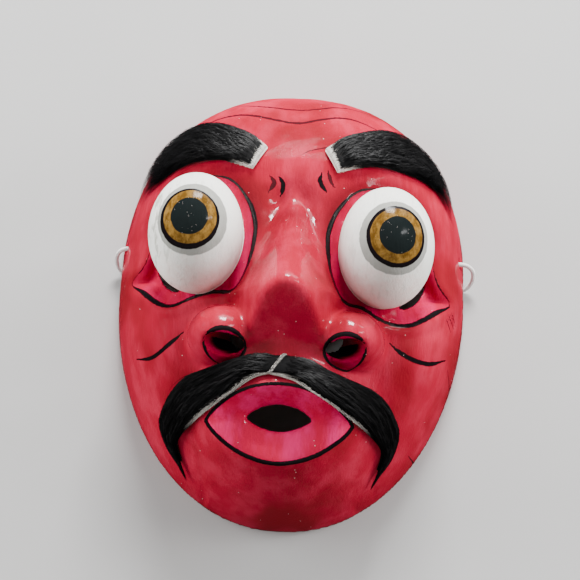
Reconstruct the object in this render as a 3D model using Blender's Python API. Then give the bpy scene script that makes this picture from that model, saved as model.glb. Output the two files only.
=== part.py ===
"""A carved and painted wooden theatre mask with ball eyes, horsehair brows and moustache, and an elastic strap.

The mask lies on its rim with the face up: +X is the viewer's right, +Y runs from chin to crown, +Z out of the face.
The origin is on the surface it lies on, below the middle of the mask. Units are metres.
"""

import math

import bmesh
import bpy
import numpy as np

MM = 0.001

# Outline of the rim, seen from the front
HALF_WIDTH = 78.5 * MM
CROWN_REACH = 93.0 * MM
CHIN_REACH = 108.0 * MM
WIDEST_Y = (CHIN_REACH - CROWN_REACH) / 2
CROWN_OUTLINE_POWER = 2.3
CHIN_OUTLINE_POWER = 2.08

# Wooden shell
FACE_HEIGHT = 57.0 * MM
WALL = 6.5 * MM
SIDE_POWER = 2.6
CROWN_POWER = 4.0
CHIN_POWER = 2.9
CREST_POWER = 1.45
CHEEK = (56.0 * MM, -24.0 * MM)
CHEEK_REACH = 17.0 * MM
CHEEK_RISE = 4.0 * MM
BROW = (34.0 * MM, 52.0 * MM)
BROW_REACH = (22.0 * MM, 8.0 * MM)
BROW_RISE = 3.0 * MM
MUZZLE_REACH = (46.0 * MM, 44.0 * MM)
MUZZLE_RISE = 15.0 * MM

# Nose: the ridge runs from the root between the eyes to the tip, and the underside from there to the lip
NOSE_TIP = (-9.0 * MM, 83.5 * MM)
NOSE_ROOT = (32.0 * MM, 53.0 * MM)
NOSE_BASE = (-36.0 * MM, 57.0 * MM)
NOSE_TIP_HALF = 22.0 * MM
NOSE_ROOT_HALF = 13.0 * MM
NOSE_BASE_HALF = 17.0 * MM
NOSE_SIDE_DROP = 26.0 * MM
NOSE_POWER = 1.8
NOSE_TIP_FILLET = 3.5 * MM
NOSE_FILLET = 7.0 * MM
ROOT_DIP = 6.0 * MM
ROOT_REACH = (11.0 * MM, 8.0 * MM)
WING_X = 26.5 * MM
WING_Y = -26.0 * MM
WING_Z = 52.0 * MM
WING_RADII = (14.5 * MM, 12.5 * MM, 19.0 * MM)
WING_FILLET = 5.0 * MM
NOSTRIL_X = 24.5 * MM
NOSTRIL_Y = -31.5 * MM
NOSTRIL_Z = 64.0 * MM
NOSTRIL_RADII = (7.6 * MM, 5.2 * MM)
NOSTRIL_FLARE = 1.25
NOSTRIL_DEPTH = 22.0 * MM
NOSTRIL_TILT = math.radians(22)
NOSTRIL_LEAN = math.radians(20)
NOSTRIL_MOUTH_SHARE = 0.6

# Ball eyes, and the socket outline on the +X side, from the top round the nose side to the outer corner and back
EYE = (40.0 * MM, 14.9 * MM, 59.0 * MM)
EYE_LIFT = 1.3 * MM
EYE_RADII = (19.9 * MM, 25.4 * MM, 25.0 * MM)
SOCKET_KEYS_MM = (
    (40, 43.5), (28, 41.5), (20, 33), (15.8, 22), (16.2, 11), (18, 1.5), (22.5, -7.8), (31, -9.8), (39, -13.8),
    (46, -15.3), (52, -14), (58, -10), (64, -4.5), (70.5, 1.5), (65, 6.5), (62, 13), (60.5, 23), (56.5, 33), (49, 41),
)
SOCKET_DEPTH = 9.0 * MM
SOCKET_LIP = 1.2 * MM
SOCKET_FLOOR_SHARE = 0.78
EYE_SLIT_WIDTH = 6.5 * MM
EYE_SLIT_SHARE = 0.88
EYE_SLIT_ANGLES = (math.radians(-72), math.radians(-12))

# Mouth
MOUTH_X = -1.0 * MM
LIP_Y = -61.0 * MM
LIP_HALF_WIDTH = 30.5 * MM
LIP_RISE = 13.0 * MM
LIP_DROP = 17.0 * MM
LIP_DEPTH = 9.0 * MM
LIP_PROUD = 2.5 * MM
MOUTH_Y = -59.5 * MM
MOUTH_HALF_WIDTH = 13.8 * MM
MOUTH_RISE = 5.4 * MM
MOUTH_DROP = 5.2 * MM
ALMOND_POWER = 0.85

# Hollow for the wearer's face
HOLLOW_NOSE_RISE = 10.0 * MM
HOLLOW_MOUTH_RISE = 12.0 * MM
EYE_BACKING = 13.0 * MM
EYE_BACKING_SPREAD = 1.35

# Strap: an elastic cord, knotted inside a hole at each temple, that comes back under an arch in the rim
STRAP_DIAMETER = 2.0 * MM
STRAP_HOLE_DIAMETER = 3.4 * MM
STRAP_HOLE_Y = 22.0 * MM
STRAP_HOLE_Z = 11.0 * MM
ARCH_Y = 12.0 * MM
ARCH_HALF_LENGTH = 20.0 * MM
ARCH_HEIGHT = 4.6 * MM
TEMPLE_CUT_LENGTH = 39.0 * MM
KNOT_RADIUS = 2.7 * MM
FLOOR_GAP = 0.1 * MM
STRAP_POINTS = 60
STRAP_LEFT_MM = (
    (-66, 22, 11), (-70, 22, 11), (-74.5, 22, 11), (-78, 21.2, 10.2), (-80, 18.8, 7.8), (-79.8, 15.6, 4.6),
    (-77.4, 13, 2.2), (-73, 11.9, 1.2), (-65, 11, 1.1),
)
STRAP_FLOOR_MM = (
    (-52, 6), (-38, -8), (-28, -28), (-12, -40), (4, -34), (8, -14), (-2, 6), (-8, 28), (4, 44), (22, 42), (34, 26),
    (46, 14), (56, 11),
)
STRAP_RIGHT_MM = (
    (66, 11, 1.1), (75, 12, 1.2), (79.5, 13.6, 2.5), (81.6, 16.6, 5.6), (81.1, 19.8, 8.8), (78, 21.7, 10.7),
    (74, 22, 11), (70, 22, 11), (66, 22, 11),
)

# Brow and moustache: hide with its hair, outlines on the +X side from the inner end to the tail
GAP = 0.5 * MM
MOUSTACHE_GAP = 0.8 * MM
BROW_UPPER_MM = (
    (12.4, 57.3), (19, 63.7), (26, 67.6), (33, 71.2), (40, 72.9), (47, 72.4), (54, 69), (61, 63), (66.5, 55.5),
    (70.5, 46),
)
BROW_LOWER_MM = (
    (18, 47.2), (25, 49.6), (31.5, 51), (37.5, 51.8), (44, 51.6), (50, 49.8), (55.5, 46.8), (60, 43.6), (64, 40.4),
    (67.5, 37.5),
)
BROW_THICKNESS = 4.2 * MM
MOUSTACHE_X = -2.5 * MM
MOUSTACHE_UPPER_MM = (
    (0, -36.2), (10, -38.2), (18, -41.4), (26, -43.2), (33, -44), (38.5, -45), (43.5, -47.6), (47.5, -52), (50, -57),
    (49.6, -62.5), (47.5, -69), (43.5, -76),
)
MOUSTACHE_LOWER_MM = (
    (0, -44.4), (6, -46), (12, -48.7), (18, -52), (25, -55.8), (31, -58.7), (37.5, -61.8), (41.5, -64.2),
    (43.8, -66.4), (43.9, -69), (43.2, -72), (42, -75.4),
)
MOUSTACHE_THICKNESS = 5.0 * MM
SEAM_LEAN = 3.0 * MM
SEAM_GAP = 0.3 * MM
HAIR_EDGE = 0.8 * MM

# Height clear above the face, where cutters that open to the front end
CUTTER_TOP = 100.0 * MM

# How finely the free forms are faceted
OUTER_RINGS = 32
OUTER_SPOKES = 56
INNER_RINGS = 14
INNER_SPOKES = 40
RIM_CROWDING = 1.15
BALL_SEGMENTS = 26
NOSTRIL_SIDES = 20
STRAP_HOLE_SIDES = 16
ARCH_CIRCLE_SIDES = 128
HAIR_PAD_STEPS = 6
BROW_STATIONS = 15
MOUSTACHE_STATIONS = 20


def ease(low, high, value):
    """0 at low, 1 at high and smooth between."""
    t = np.clip((value - low) / (high - low), 0.0, 1.0)
    return t * t * (3 - 2 * t)


def swell(x, y, centre, reach):
    """A round hill, 1 at its centre."""
    return np.exp(-(((x - centre[0]) / reach[0]) ** 2) - ((y - centre[1]) / reach[1]) ** 2)


def rounded_max(a, b, fillet):
    """The higher of two surfaces, with a fillet where they cross."""
    near = np.maximum(fillet - np.abs(a - b), 0.0) / fillet
    return np.maximum(a, b) + near * near * fillet / 4


def rounded_min(a, b, fillet):
    """The lower of two surfaces, with a fillet where they cross."""
    return -rounded_max(-a, -b, fillet)


def rim_point(share, angle, inset=0.0):
    """The point at a share of the way out to the rim, or to a line drawn in from the rim by an inset."""
    c, s = np.cos(angle), np.sin(angle)
    reach = np.where(s > 0, CROWN_REACH, CHIN_REACH) - inset
    power = np.where(s > 0, CROWN_OUTLINE_POWER, CHIN_OUTLINE_POWER)
    x = share * (HALF_WIDTH - inset) * np.sign(c) * np.abs(c) ** (2 / power)
    y = WIDEST_Y + share * reach * np.sign(s) * np.abs(s) ** (2 / power)
    return x, y


def dome_height(x, y, inset=0.0):
    """The plain shell before any feature is carved, or the same shell drawn in by an inset."""
    up = y - WIDEST_Y
    reach = np.where(up > 0, CROWN_REACH, CHIN_REACH) - inset
    outline = np.where(up > 0, CROWN_OUTLINE_POWER, CHIN_OUTLINE_POWER)
    share = (np.abs(x / (HALF_WIDTH - inset)) ** outline + np.abs(up / reach) ** outline) ** (1 / outline)
    end_power = np.where(up > 0, CROWN_POWER, CHIN_POWER)
    power = SIDE_POWER + (end_power - SIDE_POWER) * np.clip(np.abs(up) / reach, 0, 1)
    return (FACE_HEIGHT - inset) * np.maximum(1 - share**power, 0.0) ** (1 / CREST_POWER)


def nose_height(x, y):
    """The nose: a bridge that rises to the tip and levels off, cut back by a flat underside that falls to the lip."""
    tip_y, tip_z = NOSE_TIP
    bridge = tip_z + (NOSE_ROOT[1] - tip_z) * (y - tip_y) / (NOSE_ROOT[0] - tip_y)
    underside = tip_z + (NOSE_BASE[1] - tip_z) * (y - tip_y) / (NOSE_BASE[0] - tip_y)
    ridge = rounded_min(bridge, tip_z, NOSE_TIP_FILLET)
    half = np.interp(y, (NOSE_BASE[0], tip_y, NOSE_ROOT[0]), (NOSE_BASE_HALF, NOSE_TIP_HALF, NOSE_ROOT_HALF))
    sides = ridge - NOSE_SIDE_DROP * np.abs(x / half) ** NOSE_POWER
    return rounded_min(sides, underside, NOSE_TIP_FILLET) + NOSE_TIP_FILLET / 2


def wing_height(x, y):
    """The round wings of the nose, one on each side."""
    out = ((np.abs(x) - WING_X) / WING_RADII[0]) ** 2 + ((y - WING_Y) / WING_RADII[1]) ** 2
    return WING_Z + WING_RADII[2] * np.where(out < 1, np.sqrt(np.maximum(1 - out, 0.0)), 1.5 * (1 - out))


def muzzle(x, y):
    """1 over the lips and the upper lip, falling to 0 at the folds beside the mouth."""
    return ease(1.0, 0.35, np.hypot(x / MUZZLE_REACH[0], (y - LIP_Y) / MUZZLE_REACH[1]))


def pout(x, y):
    """1 inside the lips' outline, falling to 0 a little outside it."""
    reach = np.where(y > LIP_Y, LIP_RISE, LIP_DROP)
    return ease(1.35, 0.95, np.hypot((x - MOUTH_X) / LIP_HALF_WIDTH, (y - LIP_Y) / reach))


def face_height(x, y):
    """The outer surface, before the sockets, lips and nostrils are cut."""
    side = np.abs(x)
    z = dome_height(x, y)
    z = z + CHEEK_RISE * swell(side, y, CHEEK, (CHEEK_REACH, CHEEK_REACH))
    z = z + BROW_RISE * swell(side, y, BROW, BROW_REACH)
    z = z - ROOT_DIP * swell(x, y, (0.0, NOSE_ROOT[0]), ROOT_REACH)
    z = z + MUZZLE_RISE * muzzle(x, y) + LIP_PROUD * pout(x, y)
    z = rounded_max(z, nose_height(x, y), NOSE_FILLET)
    return rounded_max(z, wing_height(x, y), WING_FILLET)


def hollow_height(x, y):
    """The inner surface: room for the wearer's nose and mouth, and thick wood behind the ball eyes."""
    spread = (EYE_RADII[0] * EYE_BACKING_SPREAD, EYE_RADII[1] * EYE_BACKING_SPREAD)
    z = dome_height(x, y, WALL)
    z = z + HOLLOW_NOSE_RISE * swell(x, y, (0.0, NOSE_TIP[0]), (WING_RADII[0], WING_X))
    z = z + HOLLOW_MOUTH_RISE * muzzle(x, y)
    return np.maximum(z - EYE_BACKING * swell(np.abs(x), y, EYE, spread), 0.0)


def surface_point(x, y, lift=0.0):
    """The point of the outer surface at x, y, lifted along its normal."""
    step = 0.25 * MM
    slope_x = (face_height(x + step, y) - face_height(x - step, y)) / (2 * step)
    slope_y = (face_height(x, y + step) - face_height(x, y - step)) / (2 * step)
    scale = lift / np.sqrt(slope_x**2 + slope_y**2 + 1)
    return np.stack((x - slope_x * scale, y - slope_y * scale, face_height(x, y) + scale), axis=-1)


def smooth_curve(keys, count, closed=False):
    """Evenly spaced points on a smooth curve through the keys."""
    keys = np.asarray(keys, float)
    if closed:
        padded = np.vstack((keys[-1:], keys, keys[:2]))
    else:
        padded = np.vstack((2 * keys[0] - keys[1], keys, 2 * keys[-1] - keys[-2]))
    fine = []
    for a, b, c, d in zip(padded, padded[1:], padded[2:], padded[3:]):
        for t in np.arange(0, 1, 1 / 16):
            fine.append(0.5 * (2 * b + (c - a) * t + (2 * a - 5 * b + 4 * c - d) * t**2 + (3 * b - a - 3 * c + d) * t**3))
    fine.append(padded[-2])
    fine = np.asarray(fine)
    along = np.concatenate(([0.0], np.cumsum(np.linalg.norm(np.diff(fine, axis=0), axis=1))))
    stations = np.linspace(0, along[-1], count, endpoint=not closed)
    return np.stack([np.interp(stations, along, fine[:, k]) for k in range(fine.shape[1])], axis=1)


def make_material(name, colour, roughness, metallic=0.0):
    material = bpy.data.materials.new(name)
    material.use_nodes = True
    shader = material.node_tree.nodes["Principled BSDF"]
    shader.inputs["Base Color"].default_value = (*colour, 1.0)
    shader.inputs["Roughness"].default_value = roughness
    shader.inputs["Metallic"].default_value = metallic
    material.diffuse_color = (*colour, 1.0)
    return material


def make_object(name, vertices, faces, material=None):
    mesh = bpy.data.meshes.new(name)
    mesh.from_pydata([tuple(v) for v in vertices], [], faces)
    body = bmesh.new()
    body.from_mesh(mesh)
    bmesh.ops.recalc_face_normals(body, faces=body.faces)
    body.to_mesh(mesh)
    body.free()
    item = bpy.data.objects.new(name, mesh)
    bpy.context.scene.collection.objects.link(item)
    if material:
        mesh.materials.append(material)
    return item


def loft(name, rings, material=None, pointed=False):
    """A closed solid through rings of points. With pointed, the first ring closes on its own middle point."""
    count = len(rings[0])
    vertices = np.vstack(rings)
    faces = []
    for row in range(len(rings) - 1):
        for k in range(count):
            near = (k + 1) % count
            faces.append((row * count + k, row * count + near, (row + 1) * count + near, (row + 1) * count + k))
    last = (len(rings) - 1) * count
    faces.append(tuple(range(last, last + count)))
    if pointed:
        vertices = np.vstack((vertices, np.mean(rings[0], axis=0)))
        faces.extend((len(vertices) - 1, (k + 1) % count, k) for k in range(count))
    else:
        faces.append(tuple(range(count))[::-1])
    return make_object(name, vertices, faces, material)


def cut(target, cutter, operation="DIFFERENCE"):
    """Cut the target with the cutter, or join them, and leave the cutter as a guide."""
    modifier = target.modifiers.new(cutter.name, "BOOLEAN")
    modifier.object = cutter
    modifier.operation = operation
    modifier.solver = "EXACT"
    cutter.hide_render = True
    cutter.display_type = "WIRE"


def polar_solid(name, height, inset, shares, spokes, depth, material=None):
    """A dome over the rim's outline, closed flat at a depth below the rim."""
    angles = np.linspace(0, 2 * math.pi, spokes, endpoint=False)
    rings = []
    for share in shares:
        x, y = rim_point(share, angles, inset)
        rings.append(np.stack((x, y, height(x, y)), axis=1))
    rings[-1][:, 2] = 0.0
    if depth:
        rings.append(rings[-1] - (0, 0, depth))
    solid = loft(name, rings, material, pointed=True)
    middle = solid.data.vertices[len(solid.data.vertices) - 1]
    middle.co = (0, WIDEST_Y, float(height(np.array(0.0), np.array(WIDEST_Y))))
    return solid


def ellipse(centre, radii, height, count):
    """A level ring of points round an ellipse."""
    angles = np.linspace(0, 2 * math.pi, count, endpoint=False)
    x = centre[0] + radii[0] * np.cos(angles)
    y = centre[1] + radii[1] * np.sin(angles)
    return np.stack((x, y, np.full(count, height)), axis=1)


def socket_outline(side, share, count=40):
    """The socket's outline on one side, drawn in towards the ball by a share, as x and y."""
    keys = np.array(SOCKET_KEYS_MM) * MM
    outline = smooth_curve(keys, count, closed=True)
    middle = np.array((EYE[0], EYE[1]))
    outline = middle + (outline - middle) * share
    return side * outline[:, 0], outline[:, 1] - side * EYE_LIFT


def socket_cutter(side):
    """A basin round one ball, its floor drawn in from the outline."""
    rings = []
    x, y = socket_outline(side, 1.0)
    edge = face_height(x, y)
    rings.append(np.stack((x, y, np.full(len(x), CUTTER_TOP)), axis=1))
    rings.append(np.stack((x, y, edge - SOCKET_LIP), axis=1))
    floor_x, floor_y = socket_outline(side, SOCKET_FLOOR_SHARE)
    floor = face_height(floor_x, floor_y) - SOCKET_DEPTH
    rings.append(np.stack((floor_x, floor_y, floor), axis=1))
    return loft("socket_cutter", rings)


def eye_slit_cutter(side):
    """A narrow curved slot under the ball's outer lower side, which the wearer looks through."""
    angles = np.linspace(*EYE_SLIT_ANGLES, 9)
    direction = np.stack((np.cos(angles), np.sin(angles)), axis=1)
    middle = direction * np.array(EYE_RADII[:2]) * EYE_SLIT_SHARE
    outer = middle + direction * EYE_SLIT_WIDTH / 2
    inner = middle - direction * EYE_SLIT_WIDTH / 2
    loop = np.vstack((outer, inner[::-1]))
    x = side * (EYE[0] + loop[:, 0])
    y = EYE[1] - side * EYE_LIFT + loop[:, 1]
    return loft("eye_slit_cutter", [np.stack((x, y, np.full(len(x), z)), axis=1) for z in (0.0, EYE[2])])


def eyeball(side):
    """One ball eye, slightly egg-shaped."""
    body = bmesh.new()
    bmesh.ops.create_uvsphere(body, u_segments=BALL_SEGMENTS, v_segments=BALL_SEGMENTS // 2, radius=1.0)
    for vertex in body.verts:
        vertex.co = (
            side * EYE[0] + vertex.co.x * EYE_RADII[0],
            EYE[1] - side * EYE_LIFT + vertex.co.y * EYE_RADII[1],
            EYE[2] + vertex.co.z * EYE_RADII[2],
        )
    vertices = [tuple(vertex.co) for vertex in body.verts]
    faces = [tuple(vertex.index for vertex in face.verts) for face in body.faces]
    body.free()
    return make_object("eyeball", vertices, faces)


def mouth_cutter():
    """The lips' funnel, from their outline down to the mouth's opening and on through the wall."""
    lips = almond((MOUTH_X, LIP_Y), LIP_HALF_WIDTH, LIP_RISE, LIP_DROP)
    opening = almond((MOUTH_X, MOUTH_Y), MOUTH_HALF_WIDTH, MOUTH_RISE, MOUTH_DROP)
    edge = face_height(lips[:, 0], lips[:, 1])
    throat = face_height(opening[:, 0], opening[:, 1]) - LIP_DEPTH
    rings = [
        np.column_stack((lips, np.full(len(lips), CUTTER_TOP))),
        np.column_stack((lips, edge)),
        np.column_stack((opening, throat)),
        np.column_stack((opening, throat * 0)),
    ]
    return loft("mouth_cutter", rings)


def almond(centre, half_width, rise, drop, count=32):
    """An outline with pointed corners, curved above and below."""
    t = np.linspace(-1, 1, count // 2, endpoint=False)
    upper = np.stack((t, rise / half_width * (1 - t**2) ** ALMOND_POWER), axis=1)
    lower = np.stack((-t, -drop / half_width * (1 - t**2) ** ALMOND_POWER), axis=1)
    return np.array(centre) + half_width * np.vstack((upper, lower))


def nostril_cutter(side):
    """A flared bore that leans up into the nose and towards its middle."""
    rings = []
    mouth = NOSTRIL_DEPTH * NOSTRIL_MOUTH_SHARE
    for rise, flare in ((mouth, NOSTRIL_FLARE), (0.0, 1.0), (-NOSTRIL_DEPTH, 1 / NOSTRIL_FLARE)):
        radii = (NOSTRIL_RADII[0] * flare, NOSTRIL_RADII[1] * flare)
        middle_x = side * (NOSTRIL_X + rise * math.tan(NOSTRIL_LEAN))
        middle_y = NOSTRIL_Y - rise * math.tan(NOSTRIL_TILT)
        rings.append(ellipse((middle_x, middle_y), radii, NOSTRIL_Z + rise, NOSTRIL_SIDES))
    return loft("nostril_cutter", rings)


def cylinder_cutter(name, radius, middle, count):
    """A cylinder along X, through the wall at a temple."""
    angles = np.linspace(0, 2 * math.pi, count, endpoint=False)
    circle = np.stack((np.cos(angles), np.sin(angles)), axis=1) * radius
    rings = []
    for x in (middle[0] - TEMPLE_CUT_LENGTH / 2, middle[0] + TEMPLE_CUT_LENGTH / 2):
        rings.append(np.column_stack((np.full(count, x), middle[1] + circle[:, 0], middle[2] + circle[:, 1])))
    return loft(name, rings)


def build_mask():
    """The carved shell with its ball eyes, all one piece of wood."""
    wood = make_material("enamelled_wood", (0.55, 0.03, 0.05), 0.3)
    outer_shares = 1 - (1 - np.linspace(0, 1, OUTER_RINGS + 1)[1:]) ** RIM_CROWDING
    mask = polar_solid("mask", face_height, 0.0, outer_shares, OUTER_SPOKES, 0.0, wood)
    for side in (-1, 1):
        cut(mask, socket_cutter(side))
        cut(mask, eye_slit_cutter(side))
        cut(mask, eyeball(side), "UNION")
    inner_shares = 1 - (1 - np.linspace(0, 1, INNER_RINGS + 1)[1:]) ** RIM_CROWDING
    cut(mask, polar_solid("hollow_cutter", hollow_height, WALL, inner_shares, INNER_SPOKES, WALL))
    cut(mask, mouth_cutter())
    arch_radius = (ARCH_HALF_LENGTH**2 + ARCH_HEIGHT**2) / (2 * ARCH_HEIGHT)
    for side in (-1, 1):
        cut(mask, nostril_cutter(side))
        hole = (side * HALF_WIDTH, STRAP_HOLE_Y, STRAP_HOLE_Z)
        cut(mask, cylinder_cutter("strap_hole_cutter", STRAP_HOLE_DIAMETER / 2, hole, STRAP_HOLE_SIDES))
        arch = (side * HALF_WIDTH, ARCH_Y, ARCH_HEIGHT - arch_radius)
        cut(mask, cylinder_cutter("arch_cutter", arch_radius, arch, ARCH_CIRCLE_SIDES))
    return mask


def hair_pad(name, upper, lower, thickness, gap, material, stations, place):
    """Hide with its hair as one lens-shaped strip over the face, from its inner end to its tail."""
    upper_edge = smooth_curve(np.array(upper) * MM, stations)
    lower_edge = smooth_curve(np.array(lower) * MM, stations)
    across = np.linspace(0, 1, HAIR_PAD_STEPS)
    crest = np.sqrt(np.maximum(1 - (2 * across - 1) ** 4, 0.0))
    rings = []
    for k in range(stations):
        along = k / (stations - 1)
        line = lower_edge[k] + (upper_edge[k] - lower_edge[k]) * across[:, None]
        x, y = place(line[:, 0], line[:, 1], along, across)
        high = HAIR_EDGE + (thickness - HAIR_EDGE) * crest * ease(-0.15, 0.2, along) * ease(1.08, 0.6, along)
        bottom = surface_point(x, y, gap)
        top = surface_point(x, y, gap + high)
        rings.append(np.vstack((bottom, top[::-1])))
    return loft(name, rings, material)


def build_brow(name, side, material):
    def place(x, y, along, across):
        return side * x, y

    outline = (BROW_UPPER_MM, BROW_LOWER_MM)
    return hair_pad(name, *outline, BROW_THICKNESS, GAP, material, BROW_STATIONS, place)


def build_moustache(name, side, material):
    def place(x, y, along, across):
        lean = SEAM_LEAN * (2 * across - 1) * ease(0.3, 0.0, along)
        return MOUSTACHE_X + side * (x + SEAM_GAP / 2) + lean, y

    outline = (MOUSTACHE_UPPER_MM, MOUSTACHE_LOWER_MM)
    return hair_pad(name, *outline, MOUSTACHE_THICKNESS, MOUSTACHE_GAP, material, MOUSTACHE_STATIONS, place)


def strap_route():
    """The cord's centre line from the knot inside the left hole to the knot inside the right hole."""
    left, floor, right = (np.array(keys) * MM for keys in (STRAP_LEFT_MM, STRAP_FLOOR_MM, STRAP_RIGHT_MM))
    low = np.full(len(floor), STRAP_DIAMETER / 2 + FLOOR_GAP)
    return smooth_curve(np.vstack((left, np.column_stack((floor, low)), right)), STRAP_POINTS)


def build_strap():
    """The elastic cord as a tube, and the knot at each of its ends."""
    elastic = make_material("elastic_cord", (0.8, 0.78, 0.75), 0.8)
    route = strap_route()
    curve = bpy.data.curves.new("strap", "CURVE")
    curve.dimensions = "3D"
    curve.bevel_depth = STRAP_DIAMETER / 2
    curve.bevel_resolution = 2
    curve.use_fill_caps = True
    spline = curve.splines.new("POLY")
    spline.points.add(len(route) - 1)
    for point, place in zip(spline.points, route):
        point.co = (*place, 1.0)
    curve.materials.append(elastic)
    bpy.context.scene.collection.objects.link(bpy.data.objects.new("strap", curve))
    for name, end in (("strap_knot_left", route[0]), ("strap_knot_right", route[-1])):
        body = bmesh.new()
        bmesh.ops.create_icosphere(body, subdivisions=2, radius=KNOT_RADIUS)
        inward = -math.copysign(KNOT_RADIUS + GAP, end[0])
        vertices = [(end[0] + inward + v.co.x, end[1] + v.co.y, end[2] + v.co.z) for v in body.verts]
        faces = [tuple(v.index for v in face.verts) for face in body.faces]
        body.free()
        make_object(name, vertices, faces, elastic)


def main():
    for item in list(bpy.data.objects):
        bpy.data.objects.remove(item)
    build_mask()
    hair = make_material("horsehair", (0.01, 0.01, 0.01), 0.4)
    for name, side in (("left", -1), ("right", 1)):
        build_brow("brow_" + name, side, hair)
        build_moustache("moustache_" + name, side, hair)
    build_strap()


main()
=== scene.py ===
"""A carved and painted wooden theatre mask: its enamel, ball eyes, hair on hide and elastic strap.

Forms are worked out in millimetres in the frame's own axes: +X the viewer's right, +Y chin to crown
and +Z out of the face.
"""

import math

import bpy
import numpy as np
from mathutils import Matrix, Vector


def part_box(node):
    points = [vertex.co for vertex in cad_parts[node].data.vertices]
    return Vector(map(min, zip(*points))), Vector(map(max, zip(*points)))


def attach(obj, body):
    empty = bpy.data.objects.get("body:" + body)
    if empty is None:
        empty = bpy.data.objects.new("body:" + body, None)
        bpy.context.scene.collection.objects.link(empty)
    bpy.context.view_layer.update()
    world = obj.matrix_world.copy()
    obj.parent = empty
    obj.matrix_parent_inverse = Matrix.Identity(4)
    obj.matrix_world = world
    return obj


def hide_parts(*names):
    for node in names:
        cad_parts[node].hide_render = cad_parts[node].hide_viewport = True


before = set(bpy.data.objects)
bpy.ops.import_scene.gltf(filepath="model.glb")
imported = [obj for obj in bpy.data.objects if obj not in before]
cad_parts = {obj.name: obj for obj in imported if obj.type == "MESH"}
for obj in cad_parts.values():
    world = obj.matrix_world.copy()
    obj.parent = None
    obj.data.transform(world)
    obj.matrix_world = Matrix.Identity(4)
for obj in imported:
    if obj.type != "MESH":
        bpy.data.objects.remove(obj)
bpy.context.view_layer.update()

MM = 0.001
random = np.random.default_rng(11)

# Outline of the rim and the wooden shell
HALF_WIDTH, CROWN_REACH, CHIN_REACH = 78.5, 93.0, 108.0
WIDEST_Y = (CHIN_REACH - CROWN_REACH) / 2
CROWN_OUTLINE_POWER, CHIN_OUTLINE_POWER = 2.3, 2.08
FACE_HEIGHT, WALL = 57.0, 6.5
SIDE_POWER, CROWN_POWER, CHIN_POWER, CREST_POWER = 2.6, 4.0, 2.9, 1.45
CHEEK, CHEEK_REACH, CHEEK_RISE = (56.0, -24.0), 17.0, 4.0
BROW, BROW_REACH, BROW_RISE = (34.0, 52.0), (22.0, 8.0), 3.0
MUZZLE_REACH, MUZZLE_RISE, MUZZLE_EDGE = (46.0, 44.0), 15.0, (1.0, 0.35)

# Nose
NOSE_TIP, NOSE_ROOT, NOSE_BASE = (-9.0, 83.5), (32.0, 53.0), (-36.0, 57.0)
NOSE_TIP_HALF, NOSE_ROOT_HALF, NOSE_BASE_HALF = 22.0, 13.0, 17.0
NOSE_SIDE_DROP, NOSE_POWER = 26.0, 1.8
NOSE_TIP_FILLET, NOSE_FILLET = 3.5, 7.0
ROOT_DIP, ROOT_REACH = 6.0, (11.0, 8.0)
WING_X, WING_Y, WING_Z = 26.5, -26.0, 52.0
WING_RADII, WING_FILLET = (14.5, 12.5, 19.0), 5.0
NOSTRIL = (24.5, -31.5, 64.0)
NOSTRIL_RADII, NOSTRIL_FLARE = (7.6, 5.2), 1.25
NOSTRIL_DEPTH, NOSTRIL_TILT, NOSTRIL_LEAN = 22.0, math.radians(22), math.radians(20)
NOSTRIL_PAINT, NOSTRIL_PAINT_DROP = (0.6, 0.8), 1.2

# Ball eyes, their sockets and the slits to look through
EYE, EYE_LIFT, EYE_RADII = (40.0, 14.9, 59.0), 1.3, (19.9, 25.4, 25.0)
SOCKET_KEYS = (
    (40, 43.5), (28, 41.5), (20, 33), (15.8, 22), (16.2, 11), (18, 1.5), (22.5, -7.8), (31, -9.8),
    (39, -13.8), (46, -15.3), (52, -14), (58, -10), (64, -4.5), (70.5, 1.5), (65, 6.5), (62, 13),
    (60.5, 23), (56.5, 33), (49, 41),
)
SOCKET_DEPTH, SOCKET_LIP, LID_MEETS_BALL, LID_SLOPE = 9.0, 1.2, 0.8, 0.45
LID_OVERHANG, LEFT_LID_RAISED, LEFT_LID_REACH = 1.1, 3.6, 9
POCKET_ACROSS, POCKET_UP, LEDGE, LEDGE_BELOW = (0.35, 0.85), (0.75, 0.1), 2.6, 3.2
EYE_SLIT_WIDTH, EYE_SLIT_SHARE, EYE_SLIT_BELOW = 6.5, 0.88, 5.0
EYE_SLIT_ANGLES = (math.radians(-72), math.radians(-12))
GAZE = {-1: (-41.0, 16.0), 1: (43.8, 12.2)}
RING_SHIFTS = {
    "iris": {-1: (0, 0), 1: (0, 0)},
    "black_ring": {-1: (-0.3, -0.7), 1: (-0.1, -0.3)},
    "grey_ring": {-1: (0.9, -0.4), 1: (-0.5, -0.6)},
}

# Mouth
MOUTH_X, LIP_Y, MOUTH_Y = -1.0, -61.0, -59.5
LIP_HALF_WIDTH, LIP_RISE, LIP_DROP, LIP_DEPTH, LIP_PROUD = 30.5, 13.0, 17.0, 9.0, 2.5
POUT_EDGE = (1.35, 0.95)
MOUTH_HALF_WIDTH, MOUTH_RISE, MOUTH_DROP, ALMOND_POWER = 13.8, 5.4, 5.2, 0.85

# Hollow
HOLLOW_NOSE_RISE, HOLLOW_MOUTH_RISE, HOLLOW_RISES_FROM = 10.0, 12.0, (-2, 8)
EYE_BACKING, EYE_BACKING_SPREAD = 13.0, 1.35

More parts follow.
